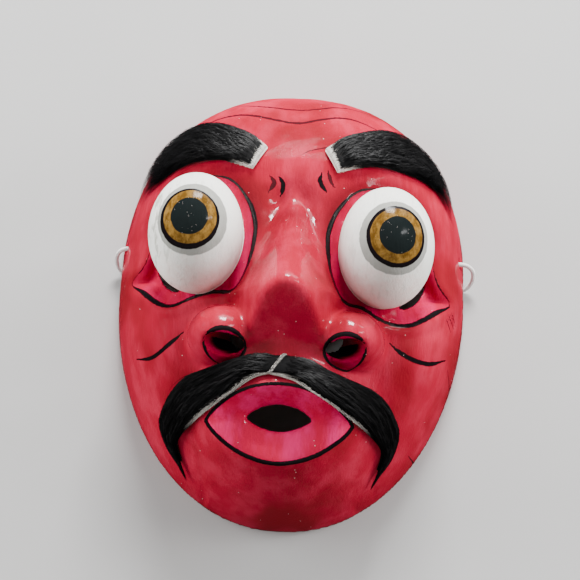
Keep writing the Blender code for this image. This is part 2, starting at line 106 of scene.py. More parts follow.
# Strap
STRAP_DIAMETER, STRAP_HOLE_DIAMETER, STRAP_HOLE_Y, STRAP_HOLE_Z = 2.0, 3.4, 22.0, 11.0
ARCH_Y, ARCH_HALF_LENGTH, ARCH_HEIGHT = 12.0, 20.0, 4.6
STRAP_FLOOR_GAP, STRAP_STATIONS, STRAP_SIDES = 0.1, 260, 12
KNOT_CORD, KNOT_SLACK, KNOT_REACH, KNOT_BREADTH = 0.4, 0.42, 3.1, 1.1
KNOT_STATIONS, KNOT_SIDES = 60, 10
STRAP_LEFT = (
    (-66, 22, 11), (-70, 22, 11), (-74.5, 22, 11), (-78, 21.2, 10.2), (-80, 18.8, 7.8),
    (-79.8, 15.6, 4.6), (-77.4, 13, 2.2), (-73, 11.9, 1.2), (-65, 11, 1.1),
)
STRAP_FLOOR = (
    (-52, 6), (-38, -8), (-28, -28), (-12, -40), (4, -34), (8, -14), (-2, 6), (-8, 28), (4, 44),
    (22, 42), (34, 26), (46, 14), (56, 11),
)
STRAP_RIGHT = (
    (66, 11, 1.1), (75, 12, 1.2), (79.5, 13.6, 2.5), (81.6, 16.6, 5.6), (81.1, 19.8, 8.8), (78, 21.7, 10.7),
    (74, 22, 11), (70, 22, 11), (66, 22, 11),
)

# Hair on its hide: outlines on the +X side from the inner end to the tail
GAP, MOUSTACHE_GAP = 0.5, 0.8
BROW_UPPER = (
    (12.4, 57.3), (19, 63.7), (26, 67.6), (33, 71.2), (40, 72.9), (47, 72.4), (54, 69), (61, 63),
    (66.5, 55.5), (70.5, 46),
)
BROW_LOWER = (
    (18, 47.2), (25, 49.6), (31.5, 51), (37.5, 51.8), (44, 51.6), (50, 49.8), (55.5, 46.8),
    (60, 43.6), (64, 40.4), (67.5, 37.5),
)
BROW_THICKNESS = 4.2
MOUSTACHE_X = -2.5
MOUSTACHE_UPPER = (
    (0, -36.2), (10, -38.2), (18, -41.4), (26, -43.2), (33, -44), (38.5, -45), (43.5, -47.6),
    (47.5, -52), (50, -57), (49.6, -62.5), (47.5, -69), (43.5, -76),
)
MOUSTACHE_LOWER = (
    (0, -44.4), (6, -46), (12, -48.7), (18, -52), (25, -55.8), (31, -58.7), (37.5, -61.8), (41.5, -64.2),
    (43.8, -66.4), (43.9, -69), (43.2, -72), (42, -75.4),
)
MOUSTACHE_THICKNESS = 5.0
SEAM_LEAN, SEAM_GAP, HAIR_EDGE = 3.0, 0.3, 0.8
PAD_STATIONS, PAD_STEPS, PAD_CROWDING, TAIL_FULL, BODY_FULL = 60, 14, 1.3, 0.15, 0.57

# The hair itself: how far wisps pass the tail and where packed hair ends, as shares of the pad
TAIL_WISPS, FULLER_LEFT, LEFT_TAIL_INWARD = 0.09, 0.3, 3.5
BROW_BODY_END, MOUSTACHE_BODY_END, BROW_NARROWS = 0.74, 0.97, {-1: 0.15, 1: 0.4}
HAIR_POINTS, HAIR_WIDTH, HAIR_WAVE, HAIR_TAPER = 7, 0.24, 0.012, 0.85
EDGE_WHITE, PALE_FADES, UPPER_EDGE = 3.0, 0.15, 0.24
HAIR = {
    "brow": {
        "reach": 0.2, "many": 3400, "last_start": 0.82, "longest": 19, "fade": 0.016, "white_length": 3.0,
        "ends": 420, "end_depth": 0.006, "end_white": 0.55, "edge": 360,
    },
    "moustache": {
        "reach": 0.74, "many": 4000, "last_start": 0.96, "longest": 23, "fade": 0.004, "white_length": 0.7,
        "ends": 260, "end_depth": 0.002, "end_white": 0.0, "edge": 1100,
    },
}

# Painted lines: the half widths round sockets, lips and nostrils, then strokes as a half width and keys
SOCKET_INK, LIP_INK, NOSTRIL_INK = 1.2, 1.05, 1.0
STROKES = (
    (0.9, ((-43.5, -24.2), (-47.7, -27.5), (-54.1, -31.7), (-58.7, -33.1), (-64.9, -31.9))),
    (1.0, ((43.7, -24.7), (49.1, -28.1), (55.7, -29.6), (62.4, -28.7), (68.9, -24.7))),
    (0.95, ((-6.6, 44.2), (-4.7, 41), (-5.7, 36.5))),
    (0.95, ((11.4, 47), (10.8, 43), (13.8, 38.4))),
)
FINE_STROKES = (
    (0.95, ((-10.2, 44.1), (-8.6, 41.4), (-10.6, 37.9))),
    (0.8, ((14.4, 47.7), (15, 44.5), (16.7, 41))),
    (0.35, ((16.5, 60.5), (11.5, 59.5), (6, 57.8), (2.5, 55.6))),
    (0.75, ((-50, 70.5), (-42.8, 75.9), (-34, 78.6), (-25.1, 78.9), (-15.1, 76), (-6.3, 73.6),
            (1.3, 73), (8.5, 75.5), (16.9, 78.3), (25.6, 78.1), (34.4, 75.1), (42, 71))),
    (0.6, ((-29.7, 88.3), (-15.7, 84.2), (-2.2, 81.8), (8.2, 83.4), (16.7, 86.6), (25.6, 87.6),
           (35.7, 85.5))),
    (0.4, ((70.5, -28), (72.5, -37), (69, -50), (63, -60))),
    (0.45, ((55, -66), (58.5, -68.5), (57.5, -73.5), (52.5, -76.5))),
    (0.45, ((50.5, -76.5), (52.5, -79.5), (50.5, -83.5), (46.5, -85.5))),
    (0.3, ((69.3, -4.5), (72.5, -9.5))),
    (0.3, ((70.6, -2.8), (73.5, -7.5))),
    (0.3, ((68.2, -6.5), (71, -11.5))),
    (0.35, ((-57, -71), (-61, -66), (-62.5, -60))),
)
BARE_GROOVES = (
    (1.6, ((-37.5, -65.5), (-35.2, -71.2), (-33.1, -80.2), (-32.4, -88.9))),
    (1.6, ((39.4, -70.6), (38.8, -78), (41.7, -84.6))),
)

# Fineness of the carved surface, and how many points its outlines have
TABLE_STEP, TABLE_REACH = 0.5, (84, 106)
CARVE_STEP, CARVE_LOW, CARVE_SPAN = 1.25, (-81.0, -103.0, -2.0), (162.0, 206.0, 89.0)
SETTLE_ROUNDS, SETTLE_STEP, SETTLE_FURTHEST, LEAST_SLOPE = 2, 0.3, 0.35, 0.2
SLOPE_STEP, STEEPEST = 0.25, 6.0
WAVES, GROOVES, GROOVE_REACH = 0.16, 0.45, 1.1
SOCKET_RIM, RIM_OUTER, RIM_CREST, RIM_INNER, RIM_FADES_BELOW = 1.1, -6.5, -2.5, 0.5, -12
THINNEST = 2.2
STEPS_BETWEEN_KEYS, SOCKET_POINTS, LIP_POINTS, NOSTRIL_POINTS = 16, 72, 64, 40
FAR, INK_NEAR, INK_THINNEST = 9.0, 6, 0.02

# Where paints begin, and how strongly painted shade darkens the crimson and the nostril bores, as distances
# on the face and shares
FRONT_SKIN, SOCKET_PAINT, LIP_PAINT = 1.2, 0.4, 0.6
BALL_SHADE, LID_SHADE, ROOT_SHADE, MOST_SHADE = 0.85, 0.3, 0.5, 0.8
ROOT_SHADE_AT, ROOT_SHADE_REACH, BORE_DARK = (0.0, 27.0), (22.0, 5.5), (7.0, 12.0)


def ease(low, high, value):
    """0 at low, 1 at high and smooth between."""
    t = np.clip((value - low) / (high - low), 0.0, 1.0)
    return t * t * (3 - 2 * t)


def swell(x, y, centre, reach):
    """A round hill, 1 at its centre."""
    return np.exp(-(((x - centre[0]) / reach[0]) ** 2) - ((y - centre[1]) / reach[1]) ** 2)


def rounded_max(a, b, fillet):
    """The higher of two surfaces, with a fillet where they cross."""
    near = np.maximum(fillet - np.abs(a - b), 0.0) / fillet
    return np.maximum(a, b) + near * near * fillet / 4


def rounded_min(a, b, fillet):
    """The lower of two surfaces, with a fillet where they cross."""
    return -rounded_max(-a, -b, fillet)


def dome_height(x, y, inset=0.0):
    """The plain shell before any feature is carved. Outside the rim it goes on below the ground."""
    up = y - WIDEST_Y
    reach = np.where(up > 0, CROWN_REACH, CHIN_REACH) - inset
    outline = np.where(up > 0, CROWN_OUTLINE_POWER, CHIN_OUTLINE_POWER)
    share = (np.abs(x / (HALF_WIDTH - inset)) ** outline + np.abs(up / reach) ** outline) ** (1 / outline)
    end_power = np.where(up > 0, CROWN_POWER, CHIN_POWER)
    power = SIDE_POWER + (end_power - SIDE_POWER) * np.clip(np.abs(up) / reach, 0, 1)
    left = 1 - share**power
    return (FACE_HEIGHT - inset) * np.sign(left) * np.abs(left) ** (1 / CREST_POWER)


def nose_height(x, y):
    """The nose: a bridge that rises to the tip, cut back by a flat underside that falls to the lip."""
    tip_y, tip_z = NOSE_TIP
    bridge = tip_z + (NOSE_ROOT[1] - tip_z) * (y - tip_y) / (NOSE_ROOT[0] - tip_y)
    underside = tip_z + (NOSE_BASE[1] - tip_z) * (y - tip_y) / (NOSE_BASE[0] - tip_y)
    ridge = rounded_min(bridge, tip_z, NOSE_TIP_FILLET)
    half = np.interp(y, (NOSE_BASE[0], tip_y, NOSE_ROOT[0]), (NOSE_BASE_HALF, NOSE_TIP_HALF, NOSE_ROOT_HALF))
    sides = ridge - NOSE_SIDE_DROP * np.abs(x / half) ** NOSE_POWER
    return rounded_min(sides, underside, NOSE_TIP_FILLET) + NOSE_TIP_FILLET / 2


def wing_height(x, y):
    """The round wings of the nose, one on each side."""
    out = ((np.abs(x) - WING_X) / WING_RADII[0]) ** 2 + ((y - WING_Y) / WING_RADII[1]) ** 2
    return WING_Z + WING_RADII[2] * np.where(out < 1, np.sqrt(np.maximum(1 - out, 0.0)), 1.5 * (1 - out))


def muzzle(x, y):
    """1 over the lips and the upper lip, falling to 0 at the folds beside the mouth."""
    return ease(*MUZZLE_EDGE, np.hypot(x / MUZZLE_REACH[0], (y - LIP_Y) / MUZZLE_REACH[1]))


def pout(x, y):
    """1 inside the lips' outline, falling to 0 a little outside it."""
    reach = np.where(y > LIP_Y, LIP_RISE, LIP_DROP)
    return ease(*POUT_EDGE, np.hypot((x - MOUTH_X) / LIP_HALF_WIDTH, (y - LIP_Y) / reach))


def face_height(x, y):
    """The outer surface, before the sockets, lips and nostrils are cut."""
    side = np.abs(x)
    z = dome_height(x, y)
    z = z + CHEEK_RISE * swell(side, y, CHEEK, (CHEEK_REACH, CHEEK_REACH))
    z = z + BROW_RISE * swell(side, y, BROW, BROW_REACH)
    z = z - ROOT_DIP * swell(x, y, (0.0, NOSE_ROOT[0]), ROOT_REACH)
    z = z + MUZZLE_RISE * muzzle(x, y) + LIP_PROUD * pout(x, y)
    z = rounded_max(z, nose_height(x, y), NOSE_FILLET)
    return rounded_max(z, wing_height(x, y), WING_FILLET)


def hollow_height(x, y):
    """The inner surface: room for the wearer's nose and mouth, and thick wood behind the ball eyes."""
    spread = (EYE_RADII[0] * EYE_BACKING_SPREAD, EYE_RADII[1] * EYE_BACKING_SPREAD)
    z = dome_height(x, y, WALL)
    at_nose = swell(x, y, (0.0, NOSE_TIP[0]), (WING_RADII[0], WING_X))
    z = z + HOLLOW_NOSE_RISE * at_nose * ease(*HOLLOW_RISES_FROM, z)
    z = z + HOLLOW_MOUTH_RISE * muzzle(x, y) * ease(*HOLLOW_RISES_FROM, z)
    return z - EYE_BACKING * swell(np.abs(x), y, EYE, spread)


def surface_point(x, y, lift=0.0):
    """The point of the outer surface at x, y, lifted along its normal, and that normal."""
    step = SLOPE_STEP
    slope_x = (face_height(x + step, y) - face_height(x - step, y)) / (2 * step)
    slope_y = (face_height(x, y + step) - face_height(x, y - step)) / (2 * step)
    normal = np.stack((-slope_x, -slope_y, np.ones_like(slope_x)), axis=-1)
    normal /= np.linalg.norm(normal, axis=-1, keepdims=True)
    return np.stack((x, y, face_height(x, y)), axis=-1) + normal * np.asarray(lift)[..., None], normal


def smooth_curve(keys, count, closed=False):
    """Evenly spaced points on a smooth curve through the keys."""
    keys = np.asarray(keys, float)
    if closed:
        padded = np.vstack((keys[-1:], keys, keys[:2]))
    else:
        padded = np.vstack((2 * keys[0] - keys[1], keys, 2 * keys[-1] - keys[-2]))
    fine = []
    for a, b, c, d in zip(padded, padded[1:], padded[2:], padded[3:]):
        for t in np.arange(0, 1, 1 / STEPS_BETWEEN_KEYS):
            bend = (2 * a - 5 * b + 4 * c - d) * t**2
            turn = (3 * b - a - 3 * c + d) * t**3
            fine.append(0.5 * (2 * b + (c - a) * t + bend + turn))
    fine.append(padded[-2])
    fine = np.asarray(fine)
    along = np.concatenate(([0.0], np.cumsum(np.linalg.norm(np.diff(fine, axis=0), axis=1))))
    stations = np.linspace(0, along[-1], count, endpoint=not closed)
    return np.stack([np.interp(stations, along, fine[:, k]) for k in range(fine.shape[1])], axis=1)


def almond(centre, half_width, rise, drop):
    """An outline with pointed corners, curved above and below."""
    t = np.linspace(-1, 1, LIP_POINTS // 2, endpoint=False)
    upper = np.stack((t, rise / half_width * (1 - t**2) ** ALMOND_POWER), axis=1)
    lower = np.stack((-t, -drop / half_width * (1 - t**2) ** ALMOND_POWER), axis=1)
    return np.array(centre) + half_width * np.vstack((upper, lower))


def socket_outline(side):
    """The socket on one side. The left lower lid comes up closer to its ball."""
    x, y = smooth_curve(SOCKET_KEYS, SOCKET_POINTS, closed=True).T
    raised = LEFT_LID_RAISED * np.exp(-(((x - EYE[0]) / LEFT_LID_REACH) ** 2)) * (y < 0) * (side < 0)
    return np.stack((side * x, y - side * EYE_LIFT + raised), axis=1)


def slit_outline(side):
    """The slit under a ball, seen from the front: a band along the ball's outer lower edge."""
    angles = np.linspace(*EYE_SLIT_ANGLES, 12)
    direction = np.stack((np.cos(angles), np.sin(angles)), axis=1)
    middle = direction * np.array(EYE_RADII[:2]) * EYE_SLIT_SHARE
    half = direction * EYE_SLIT_WIDTH / 2
    loop = np.vstack((middle + half, (middle - half)[::-1]))
    return np.stack((side * (EYE[0] + loop[:, 0]), EYE[1] - side * EYE_LIFT + loop[:, 1]), axis=1)


def nostril_outline(side):
    """The painted edge of a nostril, a little wider than its bore."""
    angles = np.linspace(0, 2 * math.pi, NOSTRIL_POINTS, endpoint=False)
    x = side * NOSTRIL[0] + (NOSTRIL_RADII[0] + NOSTRIL_PAINT[0]) * np.cos(angles)
    up = (NOSTRIL_RADII[1] + NOSTRIL_PAINT[1]) * np.sin(angles)
    return np.stack((x, NOSTRIL[1] - NOSTRIL_PAINT_DROP + up), axis=1)


def nearest_on_line(points, line, closed=False):
    """How far each point is from a line in two or three dimensions, on which side, and where along it."""
    ends = np.roll(line, -1, axis=0) if closed else line[1:]
    starts = line if closed else line[:-1]
    nearest = np.full(len(points), np.inf)
    side, along = np.ones(len(points)), np.zeros(len(points))
    for k, (a, b) in enumerate(zip(starts, ends)):
        run = b - a
        t = np.clip((points - a) @ run / max(run @ run, 1e-9), 0, 1)
        gap = points - a - t[:, None] * run
        distance = (gap * gap).sum(axis=1)
        closer = distance < nearest
        nearest = np.where(closer, distance, nearest)
        side = np.where(closer, np.sign(run[0] * gap[:, 1] - run[1] * gap[:, 0]), side)
        along = np.where(closer, (k + t) / len(starts), along)
    return np.sqrt(nearest), side, along


def depth_inside(x, y, loop):
    """How far x, y is inside a closed loop, and below 0 outside it."""
    points = np.stack((np.ravel(x), np.ravel(y)), axis=1)
    inside = np.zeros(len(points), bool)
    for (ax, ay), (bx, by) in zip(loop, np.roll(loop, -1, axis=0)):
        spans = (ay > points[:, 1]) != (by > points[:, 1])
        crossing = ax + (points[:, 1] - ay) * (bx - ax) / (by - ay if by != ay else 1e-9)
        inside ^= spans & (points[:, 0] < crossing)
    gap = nearest_on_line(points, loop, closed=True)[0]
    return np.where(inside, gap, -gap).reshape(np.shape(x))


LIPS = almond((MOUTH_X, LIP_Y), LIP_HALF_WIDTH, LIP_RISE, LIP_DROP)
MOUTH = almond((MOUTH_X, MOUTH_Y), MOUTH_HALF_WIDTH, MOUTH_RISE, MOUTH_DROP)


def inside_either(x, y, outline):
    """How far x, y is inside an outline that stands on both sides of the face."""
    return np.maximum(depth_inside(x, y, outline(-1)), depth_inside(x, y, outline(1)))


def ball_shares(x, y):
    """The way from the middle of the nearer ball eye to x, y, as shares of the ball's radii."""
    up = y - EYE[1] + np.sign(x) * EYE_LIFT
    return (np.abs(x) - EYE[0]) / EYE_RADII[0], up / EYE_RADII[1]


def fine_relief(x, y, sockets):
    """What the knife left: slow waves, a rim round each socket and grooves under the painted lines."""
    waves = np.sin(0.31 * x + 0.9 * np.sin(0.17 * y)) * np.sin(0.27 * y + 0.7 * np.sin(0.23 * x))
    waves = waves + 0.6 * np.sin(0.55 * x - 0.34 * y) * np.sin(0.47 * y + 0.2 * x)
    rim = ease(RIM_OUTER, RIM_CREST, sockets) * ease(RIM_INNER, RIM_CREST, sockets)
    rim = rim * ease(0, RIM_FADES_BELOW, y - EYE[1])
    grooves = np.zeros_like(x)
    points = np.stack((x.ravel(), y.ravel()), axis=1)
    for half_width, keys in STROKES + FINE_STROKES + BARE_GROOVES:
        line = smooth_curve(keys, max(6, 4 * len(keys)))
        near = np.abs(points - line.mean(axis=0)).max(axis=1) < np.ptp(line, axis=0).max() / 2 + 4
        gap = nearest_on_line(points[near], line)[0].astype(float)
        grooves.ravel()[near] += np.exp(-((gap / GROOVE_REACH) ** 2)) * half_width
    return WAVES * waves + SOCKET_RIM * rim - GROOVES * grooves


class Tables:
    """Heights and outline distances over a fine grid in X and Y, read between its points."""

    def __init__(self):
        self.xs, self.ys = (np.arange(-reach, reach + TABLE_STEP, TABLE_STEP) for reach in TABLE_REACH)
        x, y = np.meshgrid(self.xs, self.ys, indexing="ij")
        self.hollow = hollow_height(x, y)
        self.sockets = inside_either(x, y, socket_outline)
        ground = dome_height(x, y)
        face = face_height(x, y) + fine_relief(x, y, self.sockets) * ease(0.0, 6.0, ground)
        self.face = np.where(ground > 0, face, ground)
        self.slits = inside_either(x, y, slit_outline) - LID_OVERHANG
        self.lips = depth_inside(x, y, LIPS)
        self.mouth = depth_inside(x, y, MOUTH)
        lids = np.maximum(self.lids(x, y), self.hollow + THINNEST)
        self.top = np.where(self.sockets > 0, lids, self.face - self.lip_cut())
        self.top_slope = self.steepness(self.top)
        self.hollow_slope = self.steepness(self.hollow)

    def lids(self, x, y):
        """The lids: a crisp edge, a slope that meets the ball, and a pocket at the ball's outer corner."""
        across, up = ball_shares(x, y)
        edge = SOCKET_LIP * ease(0.0, 0.9, self.sockets)
        slope = LID_SLOPE * np.maximum(self.sockets - 0.6, 0.0)
        met = np.maximum(self.face - edge - slope, np.minimum(self.face - edge, EYE[2] + LID_MEETS_BALL))
        pocket = ease(*POCKET_ACROSS, across) * ease(*POCKET_UP, up)
        ledge = LEDGE + LEDGE_BELOW * ease(-0.2, -0.8, up)
        deep = self.face - edge - (SOCKET_DEPTH - SOCKET_LIP) * ease(0.8, ledge + 3.0, self.sockets)
        return met + (np.minimum(deep, met) - met) * pocket

    def lip_cut(self):
        """A funnel from the lips' outline to the mouth's opening, fuller near the outline."""
        share = np.clip(self.lips / np.maximum(self.lips - self.mouth, 0.01), 0.0, 1.0)
        return np.where(self.lips > 0, LIP_DEPTH * (0.8 * share + 0.2 * share**2), 0.0)

    def steepness(self, height):
        """How much longer a step on the surface is than the same step in the plan, at most."""
        along_x, along_y = np.gradient(height, TABLE_STEP)
        return np.sqrt(1 + np.minimum(along_x**2 + along_y**2, STEEPEST**2))

    def read(self, name, x, y):
        """The value of one table at x, y."""
        table = getattr(self, name)
        i = np.clip((x - self.xs[0]) / TABLE_STEP, 0, len(self.xs) - 1.001)
        j = np.clip((y - self.ys[0]) / TABLE_STEP, 0, len(self.ys) - 1.001)
        a, b = i.astype(int), j.astype(int)
        s, t = i - a, j - b
        low = table[a, b] * (1 - s) + table[a + 1, b] * s
        high = table[a, b + 1] * (1 - s) + table[a + 1, b + 1] * s
        return low * (1 - t) + high * t


def ball_distance(x, y, z):
    """Roughly how far a point is outside the nearer ball eye, and below 0 inside it."""
    a, b = ball_shares(x, y)
    c = (z - EYE[2]) / EYE_RADII[2]
    out = np.sqrt(a * a + b * b + c * c) + 1e-6
    slope = np.sqrt((a / EYE_RADII[0]) ** 2 + (b / EYE_RADII[1]) ** 2 + (c / EYE_RADII[2]) ** 2) + 1e-6
    return out * (out - 1) / slope


def wood(tables, x, y, z):
    """Below 0 inside the carved wood, above 0 outside it."""
    top = (z - tables.read("top", x, y)) / tables.read("top_slope", x, y)
    solid = np.maximum(top, -z)
    solid = np.maximum(solid, np.minimum(tables.read("slits", x, y), EYE[2] - EYE_SLIT_BELOW - z))
    solid = np.minimum(solid, ball_distance(x, y, z))
    hollow = (tables.read("hollow", x, y) - z) / tables.read("hollow_slope", x, y)
    solid = np.maximum(solid, hollow)
    solid = np.maximum(solid, tables.read("mouth", x, y))
    depth = np.clip(z - NOSTRIL[2], -NOSTRIL_DEPTH, NOSTRIL_DEPTH)
    flare = NOSTRIL_FLARE ** (depth / NOSTRIL_DEPTH)
    bore = np.hypot(
        (np.abs(x) - NOSTRIL[0] - depth * math.tan(NOSTRIL_LEAN)) / (NOSTRIL_RADII[0] * flare),
        (y - NOSTRIL[1] + depth * math.tan(NOSTRIL_TILT)) / (NOSTRIL_RADII[1] * flare),
    )
    solid = np.maximum(solid, (1 - bore) * NOSTRIL_RADII[1])
    temple = np.abs(x) - HALF_WIDTH + 3 * WALL
    hole = STRAP_HOLE_DIAMETER / 2 - np.hypot(y - STRAP_HOLE_Y, z - STRAP_HOLE_Z)
    arch_radius = (ARCH_HALF_LENGTH**2 + ARCH_HEIGHT**2) / (2 * ARCH_HEIGHT)
    arch = arch_radius - np.hypot(y - ARCH_Y, z - ARCH_HEIGHT + arch_radius)
    return np.maximum(solid, np.minimum(temple, np.maximum(hole, arch)))


def block(starts, sizes):
    """The slices of a block of a grid."""
    return tuple(slice(start, start + size) for start, size in zip(starts, sizes))


def surface_net(values, origin, step):
    """The surface where a grid of values crosses 0, as vertices and four-sided faces."""
    cells = np.array(values.shape) - 1
    total, crossings = np.zeros((*cells, 3)), np.zeros(cells)
    units = np.eye(3, dtype=int)
    for axis, unit in enumerate(units):
        for p, q in ((0, 0), (0, 1), (1, 0), (1, 1)):
            edge = np.roll((0, p, q), axis)
            a, b = values[block(edge, cells)], values[block(edge + unit, cells)]
            cross = (a < 0) != (b < 0)
            total[..., axis] += np.where(cross, a / np.where(cross, a - b, 1), 0)
            total += cross[..., None] * edge
            crossings += cross
    used = crossings > 0
    number = np.cumsum(used).reshape(cells) - 1
    vertices = (np.argwhere(used) + total[used] / crossings[used][:, None]) * step + origin
    faces = []
    for axis, unit in enumerate(units):
        sizes = cells - 1 + unit
        a, b = values[block(1 - unit, sizes)] < 0, values[block((1, 1, 1), sizes)] < 0
        around = ((0, 0), (1, 0), (1, 1), (0, 1))
        quads = np.stack([number[block(np.roll((0, p, q), axis), sizes)] for p, q in around], axis=-1)
        faces.append(quads[a & ~b])
        faces.append(quads[b & ~a][:, ::-1])
    return vertices, np.vstack(faces)


def settle(tables, vertices):
    """Draw the vertices onto the wood's own surface, by small steps."""
    for _ in range(SETTLE_ROUNDS):
        here = wood(tables, *vertices.T)
        ways = np.eye(3) * SETTLE_STEP
        rises = [wood(tables, *(vertices + way).T) - wood(tables, *(vertices - way).T) for way in ways]
        slope = np.stack(rises, axis=1) / (2 * SETTLE_STEP)
        move = here[:, None] * slope / np.maximum((slope * slope).sum(axis=1), LEAST_SLOPE)[:, None]
        size = np.linalg.norm(move, axis=1)
        vertices = vertices - move * np.minimum(1, SETTLE_FURTHEST / np.maximum(size, 1e-6))[:, None]
    vertices[:, 2] = np.maximum(vertices[:, 2], 0.0)
    return vertices


def make_object(name, vertices, faces, material, smooth=True):
    """A mesh object from places in millimetres."""
    mesh = bpy.data.meshes.new(name)
    corners = faces.tolist() if isinstance(faces, np.ndarray) else faces
    mesh.from_pydata((np.asarray(vertices) * MM).tolist(), [], corners)
    mesh.materials.append(material)
    mesh.polygons.foreach_set("use_smooth", [smooth] * len(mesh.polygons))
    item = bpy.data.objects.new(name, mesh)
    bpy.context.scene.collection.objects.link(item)
    return item


def write_attributes(item, **values_of):
    """Keep a value for each vertex under each name."""
    for name, values in values_of.items():
        attribute = item.data.attributes.new(name, "FLOAT", "POINT")
        attribute.data.foreach_set("value", np.asarray(values, np.float32).ravel())


class Tree:
    """Short calls for laying out a material's or a group's nodes."""

    def __init__(self, nodes_tree):
        self.tree = nodes_tree

    def node(self, kind, group=None, **inputs):
        """A new node. A group's inner tree comes first, because its inputs come from that."""
        made = self.tree.nodes.new(kind)
        if group:
            made.node_tree = group
        return self.fill(made, **inputs)

    def fill(self, made, **inputs):
        """Feed a node's inputs by their names, with _ for a space."""
        for key, value in inputs.items():
            self.feed(made.inputs[key.replace("_", " ")], value)
        return made

    def feed(self, socket, value):
        if isinstance(value, bpy.types.NodeSocket):
            self.tree.links.new(value, socket)
        elif isinstance(value, tuple) and len(value) == 3 and socket.type == "RGBA":
            socket.default_value = (*value, 1.0)
        else:
            socket.default_value = value

    def math(self, operation, a, b=0.0):
        made = self.tree.nodes.new("ShaderNodeMath")
        made.operation = operation
        self.feed(made.inputs[0], a)
        self.feed(made.inputs[1], b)
        return made.outputs[0]

    def add(self, a, b):
        return self.math("ADD", a, b)

    def times(self, a, b):
        return self.math("MULTIPLY", a, b)

    def within(self, distance, edge, blur, most=1.0):
        """The most where a distance is less than an edge, 0 past it, softened by the blur to both sides."""
        return self.span(distance, edge + blur, edge - blur, 0.0, most)

    def wander(self, scale, where, breadth):
        """A slow noise about 0, as broad as this."""
        return self.times(self.math("SUBTRACT", self.noise(scale, where, 2.0), 0.5), breadth)

    def span(self, value, low, high, to_low=0.0, to_high=1.0):
        """The value's place between low and high, as a share from to_low to to_high."""
        made = self.tree.nodes.new("ShaderNodeMapRange")
        made.interpolation_type = "SMOOTHSTEP"
        for key, number in enumerate((value, low, high, to_low, to_high)):
            self.feed(made.inputs[key], number)
        return made.outputs[0]

    def mix(self, share, a, b):
        made = self.tree.nodes.new("ShaderNodeMix")
        made.data_type = "RGBA"
        self.feed(made.inputs["Factor"], share)
        self.feed(made.inputs[6], a)
        self.feed(made.inputs[7], b)
        return made.outputs[2]

    def blend(self, share, a, b):
        """A number between a and b."""
        made = self.tree.nodes.new("ShaderNodeMix")
        self.feed(made.inputs["Factor"], share)
        self.feed(made.inputs[2], a)
        self.feed(made.inputs[3], b)
        return made.outputs[0]

    def attribute(self, name):
        made = self.tree.nodes.new("ShaderNodeAttribute")
        made.attribute_name = name
        return made.outputs["Fac"]

    def place(self, stretch=(1, 1, 1), turn=(0, 0, 0)):
        """The object's own coordinates in millimetres, stretched and turned."""
        where = self.tree.nodes.new("ShaderNodeTexCoord").outputs["Object"]
        mapping = self.node("ShaderNodeMapping", Vector=where)
        mapping.inputs["Scale"].default_value = tuple(k / MM for k in stretch)
        mapping.inputs["Rotation"].default_value = turn
        return mapping.outputs[0]

    def noise(self, scale, where, detail=3.0, roughness=0.55):
        inputs = {"Vector": where, "Scale": scale, "Detail": detail, "Roughness": roughness}
        return self.node("ShaderNodeTexNoise", **inputs).outputs["Fac"]

    def bump(self, height, strength, depth):
        """A shaded relief of this depth in millimetres."""
        inputs = {"Height": height, "Strength": strength, "Distance": depth * MM}
        return self.node("ShaderNodeBump", **inputs).outputs[0]


def new_group(name, inputs, outputs):
    """A group's inner tree and its two ends. Inputs are (name, default), outputs (name, kind)."""
    tree = bpy.data.node_groups.new(name, "ShaderNodeTree")
    for label, default in inputs:
        socket = tree.interface.new_socket(label, in_out="INPUT", socket_type="NodeSocketFloat")
        socket.default_value = default
    for label, kind in outputs:
        tree.interface.new_socket(label, in_out="OUTPUT", socket_type=kind)
    begin, end = tree.nodes.new("NodeGroupInput"), tree.nodes.new("NodeGroupOutput")
    return Tree(tree), begin, end


def brush_group():
    """Strokes of a broad brush: a tone that wanders between strokes, and their fine ridges."""
    t, begin, end = new_group(
        "brush_strokes",
        (("Stroke Size", 0.12), ("Ridge Size", 1.6), ("Contrast", 1.0)),
        (("Tone", "NodeSocketFloat"), ("Ridges", "NodeSocketFloat")),
    )
    where = t.place((1.0, 0.32, 1.0), (0.0, 0.0, 0.5))
    tone = t.noise(begin.outputs["Stroke Size"], where, 4.0, 0.6)
    centred = t.math("SUBTRACT", tone, 0.5)
    along = t.place((1.0, 0.12, 1.0), (0, 0, 0.35))
    tone = t.add(t.times(centred, begin.outputs["Contrast"]), 0.5)
    t.fill(end, Tone=tone, Ridges=t.noise(begin.outputs["Ridge Size"], along, 2.0))
    return t.tree


def speck_group():
    """Specks of dust caught in the varnish, thicker in some places than in others."""
    t, begin, end = new_group(
        "dust_specks",
        (("Cell Size", 0.9), ("Speck", 0.16), ("Patchiness", 0.62)),
        (("Specks", "NodeSocketFloat"),),
    )
    where = t.place()
    cells = t.node("ShaderNodeTexVoronoi", Vector=where, Scale=begin.outputs["Cell Size"])
    dots = t.math("LESS_THAN", cells.outputs["Distance"], begin.outputs["Speck"])
    chance = t.node("ShaderNodeSeparateColor", Color=cells.outputs["Color"]).outputs[0]
    chosen = t.math("GREATER_THAN", chance, 0.72)
    patches = t.math("GREATER_THAN", t.noise(0.07, where, 1.0), begin.outputs["Patchiness"])
    t.fill(end, Specks=t.times(t.times(dots, chosen), patches))
    return t.tree


def new_material(name):
    material = bpy.data.materials.new(name)
    material.use_nodes = True
    return material, Tree(material.node_tree), material.node_tree.nodes["Principled BSDF"]


